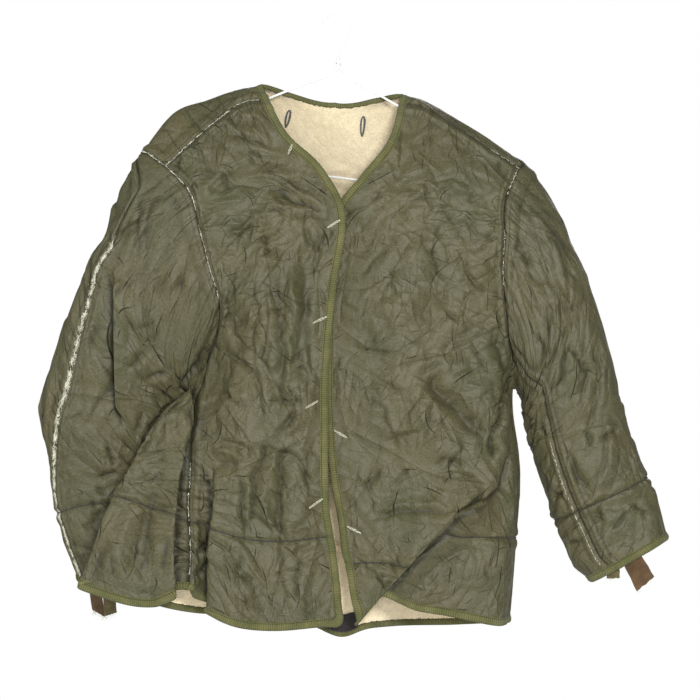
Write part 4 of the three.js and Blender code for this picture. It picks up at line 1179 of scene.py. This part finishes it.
def addCloth(name, surfaceName, node, columns, rows, spread):
    mesh, s, t = gridMesh(name, columns, rows)
    u, v = spread(s, t)
    points, normals, paintedShading, flat = surfaceAt(surfaceName, u, v)
    shapeMesh(mesh, points, normals, paintedShading, flat, crumpleShare[surfaceName])
    grids.setdefault(surfaceName, []).append((u, v, points))
    piece = newPiece(name, mesh, shellCloth, creamPile, shellCloth, shellCloth)
    wall = addWall(piece, "cloth and pile", clothWall)
    wall.material_offset, wall.material_offset_rim = 1, 0
    corners, first = faceCorners(mesh)
    thin = surfaces[surfaceName]["thin"]  # where folds leave no room for the pile
    bare = np.where(thin[corners[first]] > 0.4, 2, 0)
    mesh.polygons.foreach_set("material_index", bare.astype(np.int32))
    full = piece.vertex_groups.new(name="full thickness")
    for level in range(11):
        picked = np.flatnonzero(np.rint(thin * 10) == level)
        full.add(picked.tolist(), 1 - 0.088 * level, "REPLACE")
    wall.vertex_group = full.name
    return finishPiece(piece, node)


bodyRows = 280  # faces up a body panel
sleeveFaces = {"top": 96, "under": 78, "down": 190}
frontRight = addCloth("liner_front_right", "frontRight", "front_right", 104, bodyRows,
                      lambda s, t: roundCorner(surfaces["frontRight"], s, t))
frontLeft = addCloth("liner_front_left", "frontLeft", "front_left", 112, bodyRows,
                     lambda s, t: roundCorner(surfaces["frontLeft"], s, t))
backPanel = addCloth("liner_back", "back", "back", 150, bodyRows,
                     lambda s, t: (np.interp(s, [0, 0.45, 1], [0, 0.34, 1]), t))
for side, surfaceName in sleeveNames.items():
    for half in ("top", "under"):
        def spread(s, t, side=side, half=half):
            start, middle = sleeveSeams(side, t)
            if half == "top":
                return blend(start, middle, s), t
            return blend(middle, start + 1, s), t
        addCloth(f"liner_sleeve_{half}_{side}", surfaceName,
                                            f"sleeve_{half}_{side}", sleeveFaces[half],
                                            sleeveFaces["down"], spread)
print("cloth cut and crumpled")

# edge tapes

def insetRates(name, u, v, edge):
    # how u and v change per millimetre square to the edge, inwards
    surface, step = surfaces[name], 0.002
    place = surface["place"]
    across = (place(u + step, v) - place(u - step, v)) / (2 * step)
    up = (place(u, v + step) - place(u, v - step)) / (2 * step)
    dot = (across * up).sum(axis=1)
    if edge == "side":
        square = across - up * (dot / (up * up).sum(axis=1))[:, None]
        rate = 1 / np.linalg.norm(square, axis=1)
        return rate, -rate * dot / (up * up).sum(axis=1)
    square = up - across * (dot / (across * across).sum(axis=1))[:, None]
    rate = 1 / np.linalg.norm(square, axis=1)
    return -rate * dot / (across * across).sum(axis=1), rate


def frontEdgeAt(name):
    surface = surfaces[name]
    length, width = surface["length"], float(widthAt(surface, 0.0))
    step, radius = tapeLook["step"], cornerRadius
    vUp = np.arange(1, radius / length, -step / length)
    uHem = np.arange(radius / width, 1, step / width)
    uHem = np.append(uHem, 1.0)
    turns = np.linspace(0, math.pi / 2, int(radius * math.pi / 2 / step) + 1)[1:-1]
    upRates = insetRates(name, np.zeros_like(vUp), vUp, "side")
    hemRates = insetRates(name, uHem, np.zeros_like(uHem), "level")

    def at(inset):
        u = np.concatenate([upRates[0] * inset, (radius - (radius - inset) * np.cos(turns)) / width,
                            uHem + hemRates[0] * inset])
        v = np.concatenate([vUp + upRates[1] * inset, (radius - (radius - inset) * np.sin(turns)) / length,
                            hemRates[1] * inset])
        return np.clip(u, 0, 1), np.clip(v, 0, 1)
    return at


def levelEdgeAt(name, start, end, level, count):
    u = np.linspace(start, end, count)
    rates = insetRates(name, u, np.full(count, float(level)), "level")
    inward = 1 if level == 0 else -1

    def at(inset):
        return u + rates[0] * inset * inward, level + rates[1] * inset * inward
    return at


def addTape(name, surfaceName, node, edgeAt, seed, innerWidth):
    look = tapeLook
    last = len(look["profile"]) - 1
    edge = surfaceAt(surfaceName, *edgeAt(0))[0]
    run = np.concatenate([[0], np.cumsum(np.linalg.norm(np.diff(edge, axis=0), axis=1))])
    puff = 1 + 0.25 * noiseAt(run / 7, run * 0, seed) + 0.2 * noiseAt(run / 3, run * 0, seed + 1)
    wander = 0.5 * noiseAt(run / 18, run * 0 + 3.3, seed + 2)
    sections, darks = [], []
    for row, (inset, height, out) in enumerate(look["profile"]):
        if row in look["innerRows"]:
            inset *= innerWidth
        points, normals, _, _ = surfaceAt(surfaceName, *edgeAt(inset))
        if out:
            within = surfaceAt(surfaceName, *edgeAt(3.0))[0]
            points = points + unit(edge - within) * out
        lift = height * puff + wander * (0 if row in (0, last) else 0.4)
        # painted shade: strong on the sewn rows, lighter round the turned edge
        dark = 0.8 if row in look["sewnRows"] else 0.25 if row in look["turnRows"] else 0
        sections.append(points + normals * lift[:, None])
        darks.append(np.full(len(run), dark))
    count, rows = len(run), last + 1
    mesh, s, t = gridMesh(name, count - 1, rows)
    station = np.rint(s * (count - 1)).astype(int)
    row = np.rint(t * rows).astype(int)
    places, dark = np.stack(sections), np.stack(darks)
    points = places[row % rows, station]
    flat = np.stack([run[station], np.array(look["girth"], float)[row]], axis=1)
    outward = points - places.mean(axis=0)[station]
    shapeMesh(mesh, points, outward, dark[row % rows, station], flat)
    bm = bmesh.new()
    bm.from_mesh(mesh)
    bmesh.ops.remove_doubles(bm, verts=bm.verts, dist=1e-6)
    bmesh.ops.holes_fill(bm, edges=[e for e in bm.edges if e.is_boundary], sides=0)
    bmesh.ops.recalc_face_normals(bm, faces=bm.faces)
    bm.to_mesh(mesh)
    bm.free()
    mesh.shade_smooth()
    return finishPiece(newPiece(name, mesh, ribbedTape), node)


def cuffEdgeAt(name, count):
    u = np.linspace(0, 1, count)
    rates = insetRates(name, u, np.full(count, 1.0), "level")

    def at(inset):
        return u - rates[0] * inset, 1 - rates[1] * inset
    return at


backLength = float(widthAt(surfaces["back"], 0.0))
edges = {
    "frontRight": frontEdgeAt("frontRight"), "frontLeft": frontEdgeAt("frontLeft"),
    "hem": levelEdgeAt("back", 0, 1, 0, int(backLength / tapeLook["step"])),
    "neck": levelEdgeAt("back", neckRight, neckLeft, 1, 250),
    "cuffRight": cuffEdgeAt("sleeveRight", 330), "cuffLeft": cuffEdgeAt("sleeveLeft", 360),
}
tapeRows = [  # edge, surface, end of its names, share of its width inside
    ("frontRight", "frontRight", "front_right", 1), ("frontLeft", "frontLeft", "front_left", 1),
    ("hem", "back", "back_hem", 0.75), ("neck", "back", "back_neck", 0.5),
    ("cuffRight", "sleeveRight", "cuff_right", 1), ("cuffLeft", "sleeveLeft", "cuff_left", 1),
]
tapes = {}
for k, (key, surfaceName, ending, innerWidth) in enumerate(tapeRows):
    tapes[key] = addTape("tape_" + ending, surfaceName, "binding_" + ending, edges[key], 11 + k, innerWidth)
print("edges bound")

# threads


def threadPiece(name, strands, radius, material):
    curve = bpy.data.curves.new(name, "CURVE")
    curve.dimensions = "3D"
    curve.bevel_depth = radius * mm
    curve.bevel_resolution = 0
    curve.use_fill_caps = True
    for strand in strands:
        spline = curve.splines.new("POLY")
        spline.points.add(len(strand) - 1)
        spline.points.foreach_set("co", np.c_[strand * mm, np.ones(len(strand))].ravel())
    holder = addObject(name + "_lines", curve)
    bpy.context.view_layer.update()
    mesh = bpy.data.meshes.new_from_object(holder.evaluated_get(bpy.context.evaluated_depsgraph_get()))
    bpy.data.objects.remove(holder)
    mesh.name = name
    mesh.materials.clear()
    mesh.shade_smooth()
    piece = newPiece(name, mesh, material)
    return piece


def pathAlong(surfaceName, u, v, gap):
    # points and normals at even steps along a line on a surface
    points, normals, _, _ = surfaceAt(surfaceName, u, v)
    run = np.concatenate([[0], np.cumsum(np.linalg.norm(np.diff(points, axis=0), axis=1))])
    stops = np.arange(0, run[-1], gap)
    places = np.stack([np.interp(stops, run, points[:, k]) for k in range(3)], axis=1)
    ups = unit(np.stack([np.interp(stops, run, normals[:, k]) for k in range(3)], axis=1))
    return places, ups


threadLook = {  # each kind of stitch: its length, its height over the cloth, the thread's radius
    "quilt": (3.4, 1.3, 0.78), "tape": (3.0, 0.55, 0.34), "seam": (2.8, 0.5, 0.34),
    "frayRadius": 0.15, "holeRadius": 0.48, "slitRadius": 0.55, "loopRadius": 0.9,
}


def stitchRow(surfaceName, u, v, kind):
    pitch, lift, _ = threadLook[kind]
    places, ups = pathAlong(surfaceName, u, v, pitch / 6)
    strands = []
    heights = np.array([lift - 0.5, lift + 0.15, lift + 0.15, lift - 0.5])
    for start in range(0, len(places) - 6, 6):
        picks = [start, start + 1, start + 3, start + 4]  # two thirds of each stitch show
        strands.append(places[picks] + ups[picks] * heights[:, None])
    return strands


dice = np.random.default_rng(41)


def frayAlong(surfaceName, u, v, perMm, length, spread, lift):
    places, ups = pathAlong(surfaceName, u, v, 0.5)
    forward = unit(np.gradient(places, axis=0))
    beside = np.cross(ups, forward)
    strands = []
    sway = noiseAt(np.arange(len(places)) / 4, np.zeros(len(places)), 901) * (spread + 0.3) * 1.8
    shown = noiseAt(np.arange(len(places)) / 30, np.zeros(len(places)), 902) > 0.0
    for start in range(0, len(places) - 3, 3):
        picks = np.arange(start, start + 4)
        if shown[picks].all():
            strands.append(places[picks] + beside[picks] * sway[picks][:, None] + ups[picks] * (lift - 0.25))
    patchy = 0.45 + 1.5 * noiseAt(np.arange(len(places)) / 16, np.zeros(len(places)), 900)
    for _ in range(int(len(places) * 0.5 * perMm)):
        k = dice.integers(len(places))
        if dice.random() > patchy[k]:
            continue
        angle = dice.normal(0, 0.12 * length) + (math.pi if dice.random() < 0.5 else 0)
        reach = length * (0.5 + dice.random())
        heading = forward[k] * math.cos(angle) + beside[k] * math.sin(angle)
        side = np.cross(ups[k], heading)
        start = places[k] + beside[k] * dice.normal(0, spread) + ups[k] * (lift - 0.3)
        curl = dice.normal(0, 0.25) * reach
        strands.append(np.array([
            start, start + heading * reach * 0.5 + side * curl + ups[k] * (0.4 + dice.random() * 0.6),
            start + heading * reach + side * curl * 0.4 + ups[k] * dice.random() * 0.4]))
    return strands


def ramp(start, end, count=400):
    return np.linspace(start, end, count)


quiltStrands, tapeStrands = [], []
for surfaceName, start, end in (("frontRight", 0.045, 0.99), ("frontLeft", 0.045, 0.99),
                                ("back", 0.005, 0.995), ("sleeveRight", -0.02, 0.99),
                                ("sleeveLeft", -0.1, 0.9)):
    u = ramp(start, end, 900)
    quiltStrands += stitchRow(surfaceName, u, quiltLevel(surfaceName, u), "quilt")
for key, surfaceName, *_ in tapeRows:
    tapeStrands += stitchRow(surfaceName, *edges[key](7.8), "tape")
seamRows = [  # surface, which of u and v stays level, its level, where the row starts and ends, inset
    ("frontRight", "u", 1, 0.46, 1.0, 4), ("frontRight", "v", 1, 0.02, 0.98, 4),
    ("back", "v", 1, 0.0, 0.24, 4),
    ("frontLeft", "u", 1, 0.5, 1.0, 4), ("frontLeft", "v", 1, 0.02, 0.98, 4), ("back", "v", 1, 0.82, 1.0, 4),
    ("frontRight", "u", 1, 0.02, 0.4, 4), ("sleeveRight", "v", 0, 0.02, 0.48, 4),
    ("sleeveLeft", "v", 0, 0.02, 0.48, 4),
]
seamStrands = []


def shoulderLine(surfaceName, u, inset=0):
    side = "right" if surfaceName == "frontRight" else "left"
    return 1 - (np.interp(u, *zip(*seamDrop[side])) + inset) / surfaces[surfaceName]["length"]


for surfaceName, axis, level, start, end, inset in seamRows:
    surface, at = surfaces[surfaceName], ramp(start, end, 700)
    if axis == "u":
        u, v = level - inset / widthAt(surface, at), at
    elif surfaceName.startswith("front"):
        u, v = at, shoulderLine(surfaceName, at, inset)
    else:
        u, v = at, np.full(700, abs(level - inset / surface["length"]))
    seamStrands += stitchRow(surfaceName, u, v, "seam")
for side, surfaceName, seam, shift in (("right", "sleeveRight", 0, 6), ("left", "sleeveLeft", 1, 5),
                                       ("left", "sleeveLeft", 1, 11)):
    down = ramp(0.08, 0.985, 900)
    beside = (-1 if side == "left" else 1) * shift / widthAt(surfaces[surfaceName], down)
    seamStrands += stitchRow(surfaceName, sleeveSeams(side, down)[seam] + beside, down, "seam")
seamThread = threadPiece("seam_stitching", seamStrands, threadLook["seam"][2], darkThread)
quiltThread = threadPiece("quilting_thread", quiltStrands, threadLook["quilt"][2], darkThread)
tapeThread = threadPiece("tape_thread", tapeStrands, threadLook["tape"][2], darkThread)

frayRows = []
down = ramp(0.12, 0.99)
frayRows += frayAlong("sleeveRight", sleeveSeams("right", down)[0], down, 7, 4.2, 1.1, 0.8)
down = ramp(0.5, 0.97)
beside = sleeveSeams("left", down)[1] + 4.5 / widthAt(surfaces["sleeveLeft"], down)
frayRows += frayAlong("sleeveLeft", beside, down, 1.4, 1.8, 0.2, 0.5)
edge = np.ones(400)
shoulderRight, shoulderLeft = ramp(0.1, 1), ramp(0.8, 1)
for surfaceName, u, v, perMm, length, spread in (
        ("frontRight", edge, ramp(1.0, 0.86), 2.8, 2.0, 0.22),
        ("frontRight", edge, ramp(0.82, 0.63), 2.0, 1.8, 0.2),
        ("frontRight", edge, ramp(0.3, 0.03), 1.5, 1.8, 0.2),
        ("frontRight", shoulderRight, shoulderLine("frontRight", shoulderRight), 2.0, 1.9, 0.2),
        ("back", 0 * edge, ramp(1.0, 0.955), 3, 2.2, 0.3),
        ("frontLeft", shoulderLeft, shoulderLine("frontLeft", shoulderLeft), 1.2, 1.6, 0.2),
        ("frontLeft", edge, ramp(1.0, 0.93), 2.8, 2.0, 0.25),
        ("frontLeft", edge, ramp(0.84, 0.7), 1.4, 1.8, 0.2)):
    frayRows += frayAlong(surfaceName, u, v, perMm, length, spread, 0.7)
seamFray = threadPiece("seam_fray", frayRows, threadLook["frayRadius"], creamThread)
print("seams stitched and frayed")


def spotOn(surfaceName, x, z):
    # the place on a surface nearest to x and z, seen from the front
    best = None
    for u, v, points in grids[surfaceName]:
        gaps = np.hypot(points[:, 0] - x, points[:, 2] - z)
        k = int(gaps.argmin())
        if best is None or gaps[k] < best[0]:
            best = (gaps[k], u[k], v[k])
    return best[1], best[2]


def onSurface(surfaceName, spots, depth=0.0):
    u, v = zip(*(spotOn(surfaceName, x, z) for x, z in spots))
    points, normals, _, _ = surfaceAt(surfaceName, np.array(u), np.array(v))
    x, z = np.array(spots, float).T
    points[:, 0], points[:, 2] = x, z
    return points + normals * depth, normals


def lineFrame(surfaceName, ends, depth, facing):
    # both ends, the ways along, up and beside, and the length of a short line sewn to a surface
    (start, end), normals = onSurface(surfaceName, ends, depth)
    along, up = unit(end - start), facing * unit(normals.mean(axis=0))
    return start, end, along, up, np.cross(up, along), np.linalg.norm(end - start)


holeLook = {"wide": 1.35, "step": 1.0, "lift": 0.9}
buttonholes = {
    "frontRight": [((-61, -187), (-56, -175)), ((-10, -283), (6, -273)), ((-29, -407), (-12, -399)),
                   ((-38, -517), (-23, -508)), ((-34, -647), (-17, -635))],
    "frontLeft": [((-1, -546), (14, -555)), ((16, -671), (32, -679))],
}
holeStrands, slitStrands = [], []
for surfaceName, holes in buttonholes.items():
    for ends in holes:
        start, end, along, up, beside, length = lineFrame(surfaceName, ends, holeLook["lift"], 1)
        for side in (-1, 1):
            for at in np.arange(0, length, holeLook["step"]):
                rounding = math.sin(math.pi * (0.12 + 0.76 * at / length))
                wide = holeLook["wide"] * rounding * (0.8 + 0.4 * dice.random())
                place = start + along * at + up * 0.4
                lean = along * (1.0 + dice.normal(0, 0.5))
                holeStrands.append(np.array([
                    place + beside * side * 0.3 * wide,
                    place + beside * side * 0.75 * wide + lean + up * 0.5,
                    place + beside * side * wide + lean * 1.6 - up * 0.3]))
        # painted shade: a dark strand along each slit stands for the shadowed opening
        slitStrands.append(np.array([start + up * 0.45, (start + end) / 2 + up * 0.45, end + up * 0.45]))
buttonholeThread = threadPiece("buttonhole_thread", holeStrands, threadLook["holeRadius"], holeThread)
slitThread = threadPiece("buttonhole_slits", slitStrands, threadLook["slitRadius"], darkThread)

loopLook = {"ends": [((-60, -124), (-65, -146)), ((37, -132), (35, -158))], "wide": 3.5, "strands": 3}
loopStrands = []
for ends in loopLook["ends"]:
    start, end, along, up, beside, length = lineFrame("back", ends, -clothWall - 1.2, -1)
    for twist in range(loopLook["strands"]):
        turn = np.linspace(0, 2 * math.pi, 26)
        wide = loopLook["wide"] - 0.5 * twist
        ring = (start + np.outer((1 - np.cos(turn)) / 2 * length, along)
                + np.outer(np.sin(turn) * wide * (1 - 0.45 * (1 - np.cos(turn)) / 2), beside)
                + np.outer(0.7 + 0.5 * np.sin(turn * 3 + twist * 2), up))
        loopStrands.append(ring)
loopThread = threadPiece("inner_loops", loopStrands, threadLook["loopRadius"], greyThread)

# cuff tabs and the bare patch

tabLooks = [
    {"name": "cuff_tab_right", "sleeve": "right", "around": (0.107, 0.186), "drop": 44, "lean": 1.5,
     "cloth": brownCloth, "slot": "tab", "fray": 26},
    {"name": "cuff_strip_right", "sleeve": "right", "around": (0.193, 0.252), "drop": 43, "lean": 1,
     "cloth": oliveCloth, "slot": "strip", "fray": 10},
    {"name": "cuff_tab_left", "sleeve": "left", "around": (0.205, 0.28), "drop": 38, "lean": 5.5,
     "cloth": brownCloth, "slot": "tab", "fray": 20},
    {"name": "cuff_strip_left", "sleeve": "left", "around": (0.295, 0.355), "drop": 13, "lean": 0,
     "cloth": oliveCloth, "slot": "strip", "fray": 8},
]
tabThickness = 1.3
tabDepth = 4.7  # how far inside the sleeve a tab is sewn
tabSewn = 0.25  # share of its length that is sewn in
tabPieces, tabFray = [], []
for k, tab in enumerate(tabLooks):
    surface = surfaces[sleeveNames[tab["sleeve"]]]
    mesh, s, t = gridMesh(tab["name"] + "_cloth", 14, 30)
    around = blend(tab["around"][0], tab["around"][1], s)
    here, normal = smoothAt(surface, around, 0.95 + 0.045 * np.minimum(t / tabSewn, 1))
    hang = np.maximum(t - tabSewn, 0) / (1 - tabSewn)
    fall = unit(np.array([tab["lean"], 0, -10.0]))
    points = here - normal * tabDepth + np.outer(hang * tab["drop"], fall)
    width = float(np.linalg.norm(here[s == 1][0] - here[s == 0][0]))
    flat = np.stack([s * width, t * (tab["drop"] + 28)], axis=1)
    ripple = noiseAt(flat[:, 0] / 9, flat[:, 1] / 12, 60 + k) * 1.6 * hang
    slant = (s - 0.5) * 7 * hang * (1 if k % 2 else -1)
    points[:, 1] += ripple + 2.0 * np.sin(3 * hang + k) * hang
    points[:, 2] += slant + noiseAt(s * 5, t * 0, 70 + k) * 1.3 * smooth((hang - 0.8) / 0.2)
    points[:, 0] += noiseAt(t * 4, s * 0, 80 + k) * 1.2 * hang
    shapeMesh(mesh, points, np.tile([0.0, -1.0, 0.0], (len(points), 1)), np.zeros(len(points)), flat)
    piece = newPiece(tab["name"] + "_cloth", mesh, tab["cloth"])
    addWall(piece, "cloth", tabThickness)
    tabPieces.append((finishPiece(piece, tab["name"]), width, tab))
    tip = points[t > 0.999]
    for _ in range(tab["fray"]):
        place = tip[dice.integers(len(tip))]
        reach = 2.5 + dice.random() * 5
        way = np.array([dice.normal(0, 0.5), dice.normal(0, 0.3), -1.0])
        tabFray.append(np.array([place + (0, 0.4, 0.6),
                                 place + way * reach * 0.5 + (dice.normal(0, 1), 0, 0),
                                 place + way * reach + (dice.normal(0, 1.5), 0, 0)]))
threadPiece("tab_fray", tabFray, 0.16, creamThread)

patchLook = {"low": (-13, -806), "high": (27, -783), "thickness": 0.8, "cut": (0.040, 0.020)}
patchMesh, s, t = gridMesh("bare_patch", 24, 12)
(x0, z0), (x1, z1) = patchLook["low"], patchLook["high"]
corners = [(x0, z0), (x1, z0), (x0, z1), (x1, z1)]
uvs = np.array([spotOn("back", x, z) for x, z in corners])
u = blend(blend(uvs[0, 0], uvs[1, 0], s), blend(uvs[2, 0], uvs[3, 0], s), t)
v = blend(blend(uvs[0, 1], uvs[1, 1], s), blend(uvs[2, 1], uvs[3, 1], s), t)
here, normal, _, _ = surfaceAt("back", u, v)
patchFlat = np.stack([s * 46, t * 20], axis=1)
lift = clothWall + 2.2 + noiseAt(s * 3, t * 2, 31) * 0.5
shapeMesh(patchMesh, here - normal * lift[:, None], -normal, np.zeros(len(s)), patchFlat)
patch = newPiece("bare_patch", patchMesh, patchCloth)
addWall(patch, "cloth", patchLook["thickness"])
finishPiece(patch, "label_patch")
print("tabs and patch sewn in")

# hanger: the wire keeps its shape and gets its coating

hanger = bpy.data.objects["hanger_wire"]
hanger.data.materials.clear()
hanger.data.materials.append(coatedWire)

# the widths of each sleeve's top and under halves between the seams, worked out and not used


for side, surfaceName in sleeveNames.items():
    start, middle = sleeveSeams(side, ramp(0, 1, 60))
    tape = tapes["cuff" + side.capitalize()]
    for half, width, sewnOn in (("top", middle - start, [tape]), ("under", start + 1 - middle, [])):
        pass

# stage, lights and camera

stageLook = {"floorRadius": 3.2, "floorLevel": -1.32, "floorColour": (0.86, 0.86, 0.86, 1),
             "skyColour": (0.97, 0.985, 1, 1), "skyStrength": 0.3}
cameraLook = {"lens": 178, "place": (0.0195, -4.55, -0.4417)}
floorMesh = bpy.data.meshes.new("floor")
bm = bmesh.new()
bmesh.ops.create_circle(bm, cap_ends=True, radius=stageLook["floorRadius"], segments=96)
bmesh.ops.translate(bm, verts=bm.verts, vec=(0, 0, stageLook["floorLevel"]))
bm.to_mesh(floorMesh)
bm.free()
floorMesh.materials.append(newMaterial("pale floor", Roughness=0.9, Base_Color=stageLook["floorColour"])[0])
floorPiece = addObject("floor", floorMesh)

world = bpy.data.worlds.new("soft studio")
bpy.context.scene.world = world
world.use_nodes = True
worldTree = world.node_tree
background = worldTree.nodes["Background"]
background.inputs["Color"].default_value = stageLook["skyColour"]
background.inputs["Strength"].default_value = stageLook["skyStrength"]
backdrop = put(worldTree, "ShaderNodeBackground", {"Color": (1, 1, 1, 1), "Strength": 1.0})
seen = put(worldTree, "ShaderNodeLightPath")
choose = put(worldTree, "ShaderNodeMixShader")
worldTree.links.new(seen.outputs["Is Camera Ray"], choose.inputs[0])
worldTree.links.new(background.outputs[0], choose.inputs[1])
worldTree.links.new(backdrop.outputs[0], choose.inputs[2])
worldTree.links.new(choose.outputs[0], worldTree.nodes["World Output"].inputs["Surface"])

lamps = [  # name, place, width, height, watts
    ("key", (0.7, -3.2, 0.4), 0.7, 0.7, 90),
    ("front", (-0.3, -4.2, -0.5), 1.6, 1.2, 54),
    ("side", (-2.2, -1.5, 0.3), 0.7, 0.8, 22),
    ("behind", (0.6, 2.6, 0.9), 2.0, 1.6, 40),
]
aim = Vector((0.02, 0, -0.44))
for name, place, width, height, power in lamps:
    light = bpy.data.lights.new(name, "AREA")
    light.shape = "RECTANGLE"
    light.size, light.size_y, light.energy = width, height, power
    lamp = addObject(name, light)
    lamp.location = place
    lamp.rotation_euler = (aim - lamp.location).to_track_quat("-Z", "Y").to_euler()

lens = bpy.data.cameras.new("camera")
lens.lens, lens.clip_end = cameraLook["lens"], 50
camera = addObject("camera", lens)
camera.location = cameraLook["place"]
camera.rotation_euler = (math.radians(90), 0, 0)
bpy.context.scene.camera = camera
bpy.context.scene.view_settings.view_transform = "Standard"
print("stage set")
